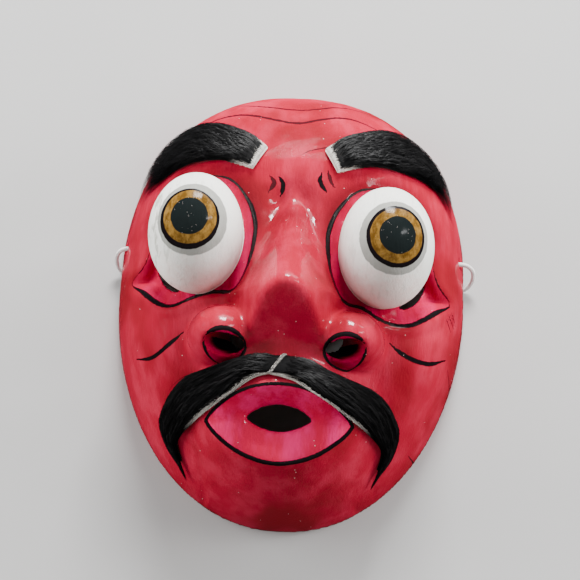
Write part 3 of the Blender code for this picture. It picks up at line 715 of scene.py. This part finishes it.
# Colours of the paints and of the bare materials, as linear values
CRIMSON = (0.36, 0.006, 0.027)
CRIMSON_DEEP = (0.24, 0.006, 0.015)
CRIMSON_PALE = (0.45, 0.016, 0.047)
CRIMSON_SHADED = (0.11, 0.0015, 0.006)
PINK = (0.34, 0.001, 0.028)
PINK_PALE = (0.44, 0.003, 0.062)
LIP_PINK = (0.60, 0.003, 0.052)
LIP_PINK_PALE = (0.82, 0.014, 0.16)
INK = (0.006, 0.004, 0.005)
FINE_INK = (0.035, 0.006, 0.009)
BALL_WHITE = (0.84, 0.84, 0.79)
BALL_LOWER_PINK = (0.74, 0.44, 0.40)
BALL_GRIME = (0.30, 0.30, 0.25)
PUPIL = (0.006, 0.009, 0.009)
GOLD = (0.10, 0.046, 0.006)
GOLD_PALE = (0.25, 0.135, 0.028)
GREY_RING = (0.21, 0.21, 0.19)
BARE_WOOD = (0.46, 0.29, 0.15)
WOOD_GRAIN = (0.27, 0.15, 0.07)
DUST = (0.70, 0.60, 0.58)
HAIR_BLACK = (0.002, 0.002, 0.0022)
HAIR_SHEEN = (0.016, 0.0155, 0.016)
HIDE_WHITE = (0.84, 0.80, 0.74)
ELASTIC = (0.80, 0.76, 0.75)
ELASTIC_SHADED = (0.55, 0.53, 0.52)
FLOOR_DARK = (0.44, 0.44, 0.435)
FLOOR_PALE = (0.50, 0.495, 0.49)
SKY = (1.0, 0.98, 0.97)

# Rings of the painted eyes, as distances from their middle
PUPIL_EDGE, GOLD_EDGE, BLACK_EDGE, GREY_EDGE = 7.9, 11.6, 13.2, 16.0


def painted_line(t, name, ragged, gate):
    """1 on the painted line kept under this name, with a ragged edge."""
    across = t.add(t.math("ABSOLUTE", t.attribute(name)), ragged)
    near = t.span(t.attribute(name + "_past_edge"), gate, gate - 0.15)
    return t.times(t.span(across, 1.12, 0.88), near)


def enamel_material(brush, specks):
    """The painted face and the bare wood behind it, told apart by the distances kept on the mesh."""
    material, t, shader = new_material("enamelled_wood")
    strokes = t.node("ShaderNodeGroup", brush, Stroke_Size=0.10, Ridge_Size=1.3, Contrast=1.7).outputs
    where = t.place()
    red = t.mix(t.span(strokes["Tone"], 0.35, 0.75), CRIMSON, CRIMSON_PALE)
    red = t.mix(t.span(t.noise(0.035, where, 2.0), 0.45, 0.7), red, CRIMSON_DEEP)
    # Painted shade: darker crimson above the balls, round the sockets and in the dip at the nose's root
    red = t.mix(t.attribute("shade"), red, CRIMSON_SHADED)
    tone = t.span(strokes["Tone"], 0.3, 0.8)
    on_lips = t.span(t.attribute("lips"), -0.5, 0.5)
    pink = t.mix(on_lips, t.mix(tone, PINK, PINK_PALE), t.mix(tone, LIP_PINK, LIP_PINK_PALE))
    # Painted shade: the nostril bores turn black as they go in, most on their inner wall
    pink = t.mix(t.attribute("bore_shade"), pink, INK)
    ragged = t.wander(0.55, where, 0.9)
    pink_share = t.span(t.add(t.attribute("pink"), ragged), -0.1, 0.1)
    paint = t.mix(pink_share, red, pink)
    fine = painted_line(t, "fine_ink", t.times(ragged, 0.9), 0.95)
    paint = t.mix(t.times(fine, 0.92), paint, FINE_INK)
    ink_share = painted_line(t, "ink", t.times(ragged, 0.5), 0.6)
    paint = t.mix(ink_share, paint, INK)
    dust = t.node("ShaderNodeGroup", specks, Cell_Size=0.42, Speck=0.085, Patchiness=0.55).outputs[0]
    paint = t.mix(t.times(dust, 0.75), paint, DUST)
    ball_share = t.span(t.attribute("ball"), 0.45, 0.3)
    paint = t.mix(ball_share, paint, eye_paint(t, where, specks))
    grain = t.noise(0.09, t.place((1.0, 0.08, 1.0), (0.0, 0.0, 0.08)), 5.0, 0.65)
    bare = t.mix(t.span(grain, 0.3, 0.7), BARE_WOOD, WOOD_GRAIN)
    bare_share = t.span(t.add(t.attribute("bare"), t.times(ragged, 1.6)), 0.55, 0.25)
    up = t.node("ShaderNodeSeparateXYZ", Vector=where).outputs["Y"]
    worn = t.span(t.add(up, t.times(strokes["Tone"], 12.0)), 40.0, 56.0, 0.9, 0.04)
    varnish = t.blend(ball_share, t.blend(pink_share, worn, t.blend(on_lips, 0.15, 0.6)), 0.3)
    lumps = t.add(t.times(strokes["Ridges"], 1.1), t.noise(0.2, where, 4.0))
    lumps = t.add(lumps, t.times(ink_share, 0.3))
    t.fill(
        shader,
        Base_Color=t.mix(bare_share, paint, bare),
        Roughness=0.7,
        Specular_IOR_Level=t.blend(bare_share, 0.02, 0.3),
        Coat_Weight=t.times(t.span(bare_share, 0.0, 1.0, 1.0, 0.0), varnish),
        Coat_IOR=1.36,
        Coat_Roughness=t.span(t.noise(0.22, where, 4.0), 0.35, 0.7, 0.08, 0.20),
        Normal=t.bump(lumps, 0.45, 0.6),
    )
    return material


def eye_paint(t, where, specks):
    """White, pinker and darker towards the bottom, grime at the side, and a grey ring, gold iris and dark
    pupil.
    """
    wander = t.wander(0.3, where, 1.1)
    # The ball's white turns pinker and darker towards its bottom
    ball_low = t.add(t.attribute("ball_low"), t.times(wander, 0.5))
    white = t.mix(t.span(ball_low, 0.35, 1.1, 0.0, 0.6), BALL_WHITE, BALL_LOWER_PINK)
    streaks = t.noise(0.5, t.place((1.0, 0.2, 0.2)), 4.0, 0.7)
    grime = t.times(t.attribute("grime"), t.span(streaks, 0.52, 0.66))
    white = t.mix(t.times(grime, 0.6), white, BALL_GRIME)
    from_grey = t.add(t.attribute("grey_ring"), wander)
    colour = t.mix(t.within(from_grey, GREY_EDGE, 0.25, 0.85), white, GREY_RING)
    ragged = t.times(wander, 0.6)
    colour = t.mix(t.within(t.add(t.attribute("black_ring"), ragged), BLACK_EDGE, 0.15), colour, INK)
    out = t.add(t.attribute("iris"), ragged)
    gold = t.mix(t.span(t.noise(0.4, t.place((1.0, 0.6, 1.0)), 4.0, 0.7), 0.35, 0.7), GOLD, GOLD_PALE)
    colour = t.mix(t.within(out, GOLD_EDGE, 0.15), colour, gold)
    colour = t.mix(t.within(out, PUPIL_EDGE, 0.12), colour, PUPIL)
    dust = t.node("ShaderNodeGroup", specks, Cell_Size=1.3, Speck=0.13, Patchiness=0.35).outputs[0]
    near = t.span(out, GOLD_EDGE, PUPIL_EDGE - 1.0)
    return t.mix(t.times(dust, t.times(near, 0.7)), colour, DUST)


def hair_material(name, rough):
    """Black hair whose roots are white where the hide is cut."""
    material, t, shader = new_material(name)
    tone = t.mix(t.attribute("tone"), HAIR_BLACK, HAIR_SHEEN)
    tone = t.mix(t.span(t.noise(1.2, t.place()), 0.5, 0.75, 0.0, 0.4), tone, HAIR_SHEEN)
    white = t.attribute("white")
    colour = t.mix(white, tone, HIDE_WHITE)
    t.fill(shader, Base_Color=colour, Roughness=t.blend(white, rough, 0.8), Specular_IOR_Level=0.09)
    return material


def elastic_material():
    """White braided cord: two sets of threads that cross over each other."""
    material, t, shader = new_material("elastic_cord")
    along, around = t.attribute("along"), t.attribute("around")
    threads = [t.math("SINE", t.times(t.math(way, along, around), 6.0)) for way in ("ADD", "SUBTRACT")]
    braid = t.math("MAXIMUM", *threads)
    t.fill(
        shader,
        Base_Color=t.mix(t.span(braid, -0.4, 0.8), ELASTIC_SHADED, ELASTIC),
        Roughness=t.span(braid, -1.0, 1.0, 0.85, 0.6),
        Sheen_Weight=0.3,
        Normal=t.bump(braid, 0.6, 0.15),
    )
    return material


def lifted(keys, count, closed=False):
    """A painted line laid on the face. Two keys make a straight one."""
    line = np.asarray(keys, float)
    if closed or len(keys) > 2:
        line = smooth_curve(keys, count, closed)
    return np.column_stack((line, face_height(line[:, 0], line[:, 1])))


class Ink:
    """Painted lines on the mesh: each vertex's place across the nearest line, 1 at the line's edge."""

    def __init__(self, vertices):
        self.vertices = vertices
        self.across = np.full(len(vertices), FAR)
        self.past_edge = np.full(len(vertices), FAR)

    def draw(self, line, half_width, closed=False):
        """half_width is a function of the place along the line, from 0 to 1."""
        reach = np.ptp(line, axis=0).max() / 2 + INK_NEAR
        middle = (line.max(axis=0) + line.min(axis=0)) / 2
        near = np.flatnonzero(np.abs(self.vertices - middle).max(axis=1) < reach)
        gap, side, along = nearest_on_line(self.vertices[near], line, closed)
        half = np.maximum(half_width(along, self.vertices[near]), INK_THINNEST)
        closer = gap - half < self.past_edge[near]
        chosen = near[closer]
        self.past_edge[chosen] = (gap - half)[closer]
        self.across[chosen] = np.clip(side * gap / half, -FAR, FAR)[closer]

    def strokes(self, table):
        """Draw every stroke of a table, each thin at both ends."""
        for width, keys in table:
            line = lifted(keys, max(8, 4 * len(keys)))
            self.draw(line, lambda along, at, width=width: width * taper(along))


def taper(along):
    """A brush stroke's breadth, thin at both ends."""
    return 0.35 + 0.65 * ease(0, 0.22, along) * ease(1, 0.7, along)


def socket_brush(along, at):
    """The outline of a socket: broad beside the nose and below, thin at the top and bare at the temple."""
    x, y = np.abs(at[:, 0]) - EYE[0], at[:, 1] - EYE[1]
    bare = ease(6, 24, x + 0.75 * y)
    thin = ease(14, 24, y)
    return SOCKET_INK * (1 - bare) * (1 - 0.5 * thin)


def build_mask(material):
    """The carved shell with its ball eyes, and the distances that its paints are told apart by."""
    tables = Tables()
    low = np.array(CARVE_LOW)
    counts = (np.array(CARVE_SPAN) / CARVE_STEP).astype(int) + 2
    xs, ys, zs = (low[k] + CARVE_STEP * np.arange(counts[k]) for k in range(3))
    x, y = np.meshgrid(xs, ys, indexing="ij")
    values = np.stack([wood(tables, x, y, np.full_like(x, z)) for z in zs], axis=-1)
    vertices, faces = surface_net(values, low, CARVE_STEP)
    vertices = settle(tables, vertices)
    mask = make_object("carved_mask", vertices, faces, material)
    write_attributes(mask, **paint_distances(tables, vertices))
    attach(mask, "root")
    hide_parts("mask")
    return mask


def paint_distances(tables, vertices):
    """What each vertex has to know about the paints near it, by name."""
    x, y, z = vertices.T
    hollow, sockets, lips = (tables.read(name, x, y) for name in ("hollow", "sockets", "lips"))
    front = z > hollow + FRONT_SKIN
    pink = np.maximum(sockets - SOCKET_PAINT, lips - LIP_PAINT)
    ink, fine = Ink(vertices), Ink(vertices)
    for side in (-1, 1):
        ink.draw(lifted(socket_outline(side), SOCKET_POINTS, True), socket_brush, True)
        nostril = lifted(nostril_outline(side), NOSTRIL_POINTS, True)
        ink.draw(nostril, lambda along, at: NOSTRIL_INK * (0.8 + 0.25 * np.sin(2 * math.pi * along)), True)
        pink = np.maximum(pink, depth_inside(x, y, nostril[:, :2]))
    mouth_line = lifted(LIPS, LIP_POINTS, True)
    ink.draw(mouth_line, lambda along, at: LIP_INK * (0.75 + 0.3 * (at[:, 1] < LIP_Y)), True)
    ink.strokes(STROKES)
    fine.strokes(FINE_STROKES)
    # Painted shade: darker crimson above the balls under the brows, round the sockets and in the dip at the
    # nose's root
    above_ball = ease(0.0, 16.0, y - EYE[1])
    shade = BALL_SHADE * ease(-11.0, 0.5, sockets) * above_ball + LID_SHADE * ease(-4.0, 0.0, sockets)
    shade = np.maximum(shade, ROOT_SHADE * swell(x, y, ROOT_SHADE_AT, ROOT_SHADE_REACH))
    # Painted shade inside the nostril bores, growing with depth and strongest on the inner wall
    into_bore = (face_height(x, y) - z) * (z > hollow) * (sockets < 0)
    inner_wall = ease(1.2, -2.4, np.abs(x) - NOSTRIL[0]) * ease(1.5, 4.5, into_bore)
    at_nostril = swell(np.abs(x), y, NOSTRIL, (16.0, 16.0)) > 0.4
    into_wood = (z - hollow) / tables.read("hollow_slope", x, y)
    distances = {
        "pink": pink,
        "lips": lips,
        "shade": np.minimum(shade, MOST_SHADE),
        "bore_shade": np.maximum(inner_wall, ease(*BORE_DARK, into_bore)) * at_nostril,
        "ink": np.where(front, ink.across, FAR),
        "ink_past_edge": np.where(front, ink.past_edge, FAR),
        "fine_ink": np.where(front, fine.across, FAR),
        "fine_ink_past_edge": np.where(front, fine.past_edge, FAR),
        "ball": np.where(front, ball_distance(x, y, z), FAR),
        "bare": np.minimum(into_wood, z * 1.5),
        "ball_low": (EYE[1] - y) / EYE_RADII[1],
        "grime": ease(4, 18, np.abs(x) - EYE[0]) * (x < 0) + 0.3,
    }
    for ring, shifts in RING_SHIFTS.items():
        distances[ring] = np.full(len(vertices), 99.0)
        for side, (shift_x, shift_y) in shifts.items():
            centre = gaze_point(GAZE[side][0] + shift_x, GAZE[side][1] + shift_y)
            near = np.sign(x) == side
            distances[ring][near] = np.linalg.norm(vertices[near] - centre, axis=1)
    return distances


def gaze_point(x, y):
    """The point of the ball's front at x, y."""
    a, b = ball_shares(x, y)
    return np.array((x, y, EYE[2] + EYE_RADII[2] * math.sqrt(1 - a * a - b * b)))


class Pad:
    """A strip of hide on the face, with places read by shares along and across it."""

    def __init__(self, edges, thickness, gap, place, body_end, narrows=0.0):
        self.upper, self.lower = (smooth_curve(keys, 80) for keys in edges)
        self.thickness, self.gap, self.place = thickness, gap, place
        self.body_end, self.narrows, self.spread_out = body_end, narrows, None
        middle = (self.upper + self.lower) / 2
        self.length = np.linalg.norm(np.diff(middle, axis=0), axis=1).sum()

    def point(self, along, across, height):
        """The place at shares along and across, at a height over the hide. Hair runs on past the tail."""
        stations = np.linspace(0, 1, 80)
        inside = np.clip(along, 0, 1)
        across = across + (1 - across) * self.narrows * ease(0.45, 0.9, inside)
        ends = []
        for edge in (self.lower, self.upper):
            run = (edge[-1] - edge[-6]) / np.linalg.norm(edge[-1] - edge[-6])
            over = (along - inside) * self.length
            ends.append([np.interp(inside, stations, edge[:, k]) + over * run[k] for k in (0, 1)])
        x = ends[0][0] + (ends[1][0] - ends[0][0]) * across
        y = ends[0][1] + (ends[1][1] - ends[0][1]) * across
        x, y = self.place(x, y, along, across)
        return surface_point(x, y, height + self.gap)

    def crown(self, along, across):
        """How high the hair stands at shares along and across."""
        crest = np.sqrt(np.maximum(1 - np.clip(2 * across - 1, -1, 1) ** 4, 0.0))
        rise = (self.thickness - HAIR_EDGE) * crest * ease(-0.15, 0.2, along)
        return HAIR_EDGE + rise * ease(1.08, 0.6, along)


def pad_body(name, pad, material, reach):
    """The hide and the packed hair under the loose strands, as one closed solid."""
    across = np.linspace(0, 1, PAD_STEPS)
    rings = []
    places = pad.body_end * np.linspace(0, 1, PAD_STATIONS) ** PAD_CROWDING
    for along in places:
        share = np.full(PAD_STEPS, along)
        bottom = pad.point(share, across, np.zeros(PAD_STEPS))[0]
        full = TAIL_FULL + BODY_FULL * ease(pad.body_end + 0.02, pad.body_end - 0.25, along)
        top = pad.point(share, across, pad.crown(share, across) * full)[0]
        rings.append(np.vstack((bottom, top[::-1])))
    count = 2 * PAD_STEPS
    last = (PAD_STATIONS - 1) * count
    faces = []
    for row in range(0, last, count):
        for k in range(count):
            near = (k + 1) % count
            faces.append((row + k, row + near, row + count + near, row + count + k))
    for k in range(PAD_STEPS - 1):
        faces.append((k, k + 1, count - 2 - k, count - 1 - k)[::-1])
        faces.append((last + k, last + k + 1, last + count - 2 - k, last + count - 1 - k))
    vertices = np.vstack(rings)
    if vertices[0][0] >= 0:
        faces = [face[::-1] for face in faces]
    item = make_object(name, vertices, faces, material)
    share = np.repeat(places, count)
    over = np.tile(np.concatenate((across, across[::-1])), PAD_STATIONS)
    pale = ease(reach, reach - PALE_FADES, share)
    long_edges = np.maximum(ease(0.02, 0.0, over) * pale, ease(0.97, 1.0, over) * pale * (reach < 0.5))
    white = np.maximum(ease(0.006, 0.0, share), long_edges)
    write_attributes(item, white=white, tone=np.full(len(vertices), 0.1))
    return item


def strands(pad, along, across, length, drift, layer, white, white_length, rise=0.35):
    """Ribbons of hair that leave the hide, lie over to the pad's height and taper out."""
    count = len(along)
    t = np.linspace(0, 1, HAIR_POINTS)
    tip = pad.body_end + (1 + TAIL_WISPS - pad.body_end) * random.uniform(0, 1, count) ** 2
    length = np.minimum(length, np.maximum(tip - along, 0.02) * pad.length)
    here = along[:, None] + length[:, None] / pad.length * t
    wave = HAIR_WAVE * np.sin(3.0 * t + random.uniform(0, 6.3, (count, 1)))
    wide = across[:, None] + drift[:, None] * t + wave * t
    centre = ease(0.75, 1.15, here) * 0.55
    wide = wide + (0.5 - wide) * centre
    height = 0.3 + layer[:, None] * pad.crown(np.minimum(here, 1.0), wide) * ease(0, rise, t)
    height = height * (1 - 0.35 * t**3)
    if pad.spread_out:
        wide = pad.spread_out(here, wide)
    spots, normals = pad.point(here, wide, height)
    side = np.cross(np.gradient(spots, axis=1), normals)
    side /= np.maximum(np.linalg.norm(side, axis=2, keepdims=True), 1e-9)
    half = 0.5 * HAIR_WIDTH * (1 - HAIR_TAPER * t**2)[None, :, None]
    vertices = np.stack((spots - side * half, spots + side * half), axis=2).reshape(-1, 3)
    base = (np.arange(count)[:, None] * HAIR_POINTS + np.arange(HAIR_POINTS - 1)[None]) * 2
    faces = np.stack((base, base + 1, base + 3, base + 2), axis=-1).reshape(-1, 4)
    pale = white[:, None] * ease(white_length, 0.3 * white_length, t * length[:, None])
    tone = np.repeat(random.uniform(0, 1, count) ** 3, HAIR_POINTS * 2)
    return vertices, faces, np.repeat(pale.ravel(), 2), tone


def make_hair(name, pad, groups, material):
    """Join groups of strands into one piece."""
    made = [strands(pad, **group) for group in groups]
    starts = np.cumsum([0] + [len(group[0]) for group in made])
    vertices, _, white, tone = (np.concatenate(column) for column in zip(*made))
    faces = np.vstack([group[1] + start for group, start in zip(made, starts)])
    item = make_object(name, vertices, faces, material)
    write_attributes(item, white=white, tone=tone)
    return item


def fuller(along, across):
    """The left half of the moustache stands higher over its middle, where its hair is longest."""
    return across + FULLER_LEFT * ease(0.45, 1.0, across) * ease(0.02, 0.2, along) * ease(0.66, 0.36, along)


def spread(count, low, high):
    """Even random values."""
    return low + (high - low) * random.uniform(0, 1, count)


def edge_hairs(count, reach, across, length, drift, palest, fades):
    """Short pale hairs along one long edge of the hide."""
    start = spread(count, 0.0, reach)
    return {
        "along": start,
        "across": spread(count, *across),
        "length": spread(count, *length),
        "drift": spread(count, *drift),
        "layer": spread(count, 0.3, 0.8),
        "white": spread(count, palest, 1.0) * ease(reach, reach - fades, start),
        "white_length": EDGE_WHITE,
        "rise": 0.1,
    }


def build_hair(kind, side, pad, body_material, strand_material):
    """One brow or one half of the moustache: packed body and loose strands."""
    label = kind + ("_left" if side < 0 else "_right")
    kept = HAIR[kind]
    reach, many, ends, white_length = (kept[key] for key in ("reach", "many", "ends", "white_length"))
    body = pad_body(label + "_hide", pad, body_material, reach)
    start = spread(many, 0.0, kept["last_start"])
    bottom = 0.03 * ease(reach, reach - PALE_FADES, start)
    main = {
        "along": start,
        "across": bottom + spread(many, 0.0, 1.0) * (0.99 - bottom),
        "length": spread(many, 11, kept["longest"]),
        "drift": random.normal(0, 0.05, many),
        "layer": spread(many, 0.45, 1.08),
        "white": ease(kept["fade"], 0.0, start) * 0.8,
        "white_length": white_length,
    }
    cut_end = {
        "along": spread(ends, -0.002, kept["end_depth"]),
        "across": spread(ends, 0.0, 1.0),
        "length": spread(ends, 0.4, 1.0) * white_length,
        "drift": random.normal(0, 0.02, ends),
        "layer": spread(ends, 0.4, 1.0),
        "white": spread(ends, kept["end_white"], 0.9),
        "white_length": 1.2 * white_length,
        "rise": 0.1,
    }
    lower = ((-0.02, 0.01), (0.4, 1.3), (-0.03, 0.04), 0.7, PALE_FADES)
    groups = [main, cut_end, edge_hairs(kept["edge"], reach, *lower)]
    if kind == "brow":
        upper = ((0.97, 1.02), (0.5, 1.8), (-0.04, 0.0), 0.6, UPPER_EDGE - 0.06)
        groups.append(edge_hairs(kept["edge"], UPPER_EDGE, *upper))
    hair = make_hair(label + "_strands", pad, groups, strand_material)
    for piece in (body, hair):
        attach(piece, "root")
    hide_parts(label)


def build_all_hair():
    """Both brows and both halves of the moustache."""
    packed, loose = hair_material("packed_hair", 0.7), hair_material("loose_hair", 0.42)
    for side in (-1, 1):
        def brow_place(x, y, along, across, side=side):
            return side * x, y

        def moustache_place(x, y, along, across, side=side):
            lean = SEAM_LEAN * (2 * across - 1) * ease(0.3, 0.0, along)
            inward = LEFT_TAIL_INWARD * ease(0.45, 1.0, along) * (side < 0)
            return MOUSTACHE_X + side * (x + SEAM_GAP / 2) + lean + inward, y

        edges = (BROW_UPPER, BROW_LOWER)
        brow = Pad(edges, BROW_THICKNESS, GAP, brow_place, BROW_BODY_END, BROW_NARROWS[side])
        build_hair("brow", side, brow, packed, loose)
        edges = (MOUSTACHE_UPPER, MOUSTACHE_LOWER)
        moustache = Pad(edges, MOUSTACHE_THICKNESS, MOUSTACHE_GAP, moustache_place, MOUSTACHE_BODY_END)
        if side < 0:
            moustache.spread_out = fuller
        build_hair("moustache", side, moustache, packed, loose)


def tube(name, path, radius, sides, material, closed=False):
    """A round cord along a path, with the places along and around it kept for its braid."""
    count = len(path)
    if closed:
        run = np.roll(path, -1, axis=0) - np.roll(path, 1, axis=0)
    else:
        run = np.gradient(path, axis=0)
    run /= np.linalg.norm(run, axis=1, keepdims=True)
    across = np.zeros_like(path)
    guide = np.array((0.0, 0.0, 1.0)) if abs(run[0][2]) < 0.9 else np.array((0.0, 1.0, 0.0))
    for k in range(count):
        guide = guide - run[k] * (guide @ run[k])
        guide /= np.linalg.norm(guide)
        across[k] = guide
    angles = np.linspace(0, 2 * math.pi, sides, endpoint=False)
    one, other = across[:, None], np.cross(run, across)[:, None]
    circle = np.cos(angles)[None, :, None] * one + np.sin(angles)[None, :, None] * other
    vertices = (path[:, None] + radius * circle).reshape(-1, 3)
    faces = []
    for row in range(count if closed else count - 1):
        here, after = row * sides, (row + 1) % count * sides
        for k in range(sides):
            near = (k + 1) % sides
            faces.append((here + k, here + near, after + near, after + k))
    spare = [0.0] * (0 if closed else 2)
    if not closed:
        first, last = len(vertices), (count - 1) * sides
        vertices = np.vstack((vertices, path[:1], path[-1:]))
        faces.extend((first, (k + 1) % sides, k) for k in range(sides))
        faces.extend((first + 1, last + k, last + (k + 1) % sides) for k in range(sides))
    item = make_object(name, vertices, faces, material)
    along = np.concatenate(([0.0], np.cumsum(np.linalg.norm(np.diff(path, axis=0), axis=1))))
    along = np.concatenate((np.repeat(along / radius, sides), spare))
    write_attributes(item, along=along, around=np.concatenate((np.tile(angles, count), spare)))
    return item


def strap_route():
    """The cord's centre line from the knot inside the left hole to the knot inside the right hole."""
    low = STRAP_DIAMETER / 2 + STRAP_FLOOR_GAP
    on_floor = tuple((x, y, low) for x, y in STRAP_FLOOR)
    return smooth_curve(STRAP_LEFT + on_floor + STRAP_RIGHT, STRAP_STATIONS)


def knot_path(node, turn):
    """An overhand knot pulled tight, in the space of its CAD ball."""
    low, high = (np.array(corner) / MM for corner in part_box(node))
    centre, reach = (low + high) / 2, (high - low).min() / 2
    t = np.linspace(0, 2 * math.pi, KNOT_STATIONS, endpoint=False)
    loops = (np.sin(t) + 2 * np.sin(2 * t), np.cos(t) - 2 * np.cos(2 * t))
    shape = np.stack((np.sin(3 * t) * KNOT_BREADTH, *loops), axis=1)
    return centre + shape * ((reach - STRAP_DIAMETER * KNOT_SLACK) / KNOT_REACH) * (turn, 1, 1)


def build_strap(material):
    """The elastic cord and its two knots."""
    for label, turn in (("left", -1), ("right", 1)):
        path = knot_path("strap_knot_" + label, turn)
        knot = tube("knot_" + label, path, STRAP_DIAMETER * KNOT_CORD, KNOT_SIDES, material, True)
        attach(knot, "root")
        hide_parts("strap_knot_" + label)
    path = strap_route()
    cord = tube("elastic_strap", path, STRAP_DIAMETER / 2, STRAP_SIDES, material)
    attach(cord, "root")
    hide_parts("strap")


# The photograph's viewpoint, in millimetres and degrees
CAMERA_TARGET = (0.3, -2.2, 42.8)
CAMERA_DISTANCE = 617.5
CAMERA_YAW, CAMERA_PITCH, CAMERA_ROLL = 1.5, 15.0, 3.2
CAMERA_LENS, SENSOR, NEAREST_SEEN = 90.0, 36.0, 0.01

# Area lights in metres and watts: place, breadth and height, power, and whether varnish mirrors them
LIGHTS = {
    "key": ((0.08, 1.05, 0.66), (0.42, 0.24), 37.0, True),
    "sheen": ((0.35, 1.15, 0.42), (1.2, 0.4), 11.0, True),
    "left_fill": ((-0.85, 0.15, 0.25), (0.6, 0.3), 12.5, False),
    "right_fill": ((0.85, 0.15, 0.28), (0.6, 0.3), 11.0, False),
    "right_glint": ((0.7, 0.3, 0.75), (0.08, 0.3), 2.5, True),
    "chin_fill": ((-0.1, -0.95, 0.6), (0.8, 0.4), 2.2, False),
}
LIGHTS_AIM = Vector((0, 0, 0.05))
FLOOR_HALF, FLOOR_DROP = 1500, 0.02


def build_camera():
    """The photograph's camera."""
    yaw, pitch, roll = (math.radians(a) for a in (CAMERA_YAW, CAMERA_PITCH, CAMERA_ROLL))
    back = Vector((math.sin(yaw), -math.sin(pitch) * math.cos(yaw), math.cos(pitch) * math.cos(yaw)))
    up = Vector((0, 1, 0)) - back * back.y
    up.normalize()
    right = up.cross(back)
    tilted_up = up * math.cos(roll) - right * math.sin(roll)
    tilted_right = right * math.cos(roll) + up * math.sin(roll)
    data = bpy.data.cameras.new("camera")
    data.lens = CAMERA_LENS
    data.sensor_width = SENSOR
    data.clip_start = NEAREST_SEEN
    camera = bpy.data.objects.new("camera", data)
    place = Matrix((tilted_right, tilted_up, back)).transposed().to_4x4()
    place.translation = (Vector(CAMERA_TARGET) + back * CAMERA_DISTANCE) * MM
    camera.matrix_world = place
    bpy.context.scene.collection.objects.link(camera)
    bpy.context.scene.camera = camera


def area_light(name, place, size, power, glossy):
    """A soft light aimed at the middle of the mask."""
    data = bpy.data.lights.new(name, "AREA")
    data.shape = "RECTANGLE"
    data.size, data.size_y = size
    data.energy = power
    light = bpy.data.objects.new(name, data)
    light.location = place
    light.rotation_euler = (LIGHTS_AIM - Vector(place)).to_track_quat("-Z", "Y").to_euler()
    light.visible_glossy = glossy
    bpy.context.scene.collection.objects.link(light)


def build_stage():
    """A pale floor and soft lights, the main one from the crown's side."""
    floor_material, t, shader = new_material("pale_floor")
    t.fill(shader, Base_Color=t.mix(t.noise(0.01, t.place(), 2.0), FLOOR_DARK, FLOOR_PALE), Roughness=0.8)
    signs = ((-1, -1), (1, -1), (1, 1), (-1, 1))
    corners = [(a * FLOOR_HALF, b * FLOOR_HALF, -FLOOR_DROP) for a, b in signs]
    floor = make_object("floor", corners, [(0, 1, 2, 3)], floor_material, smooth=False)
    floor.visible_glossy = False
    world = bpy.data.worlds.new("studio")
    bpy.context.scene.world = world
    world.use_nodes = True
    w = Tree(world.node_tree)
    sky_place = world.node_tree.nodes.new("ShaderNodeTexCoord").outputs["Generated"]
    rise = w.node("ShaderNodeSeparateXYZ", Vector=sky_place).outputs["Z"]
    w.fill(world.node_tree.nodes["Background"], Color=SKY, Strength=w.span(rise, 0.05, 0.9, 0.02, 0.5))
    for name, settings in LIGHTS.items():
        area_light(name, *settings)


build_camera()
build_strap(elastic_material())
build_mask(enamel_material(brush_group(), speck_group()))
build_all_hair()
build_stage()
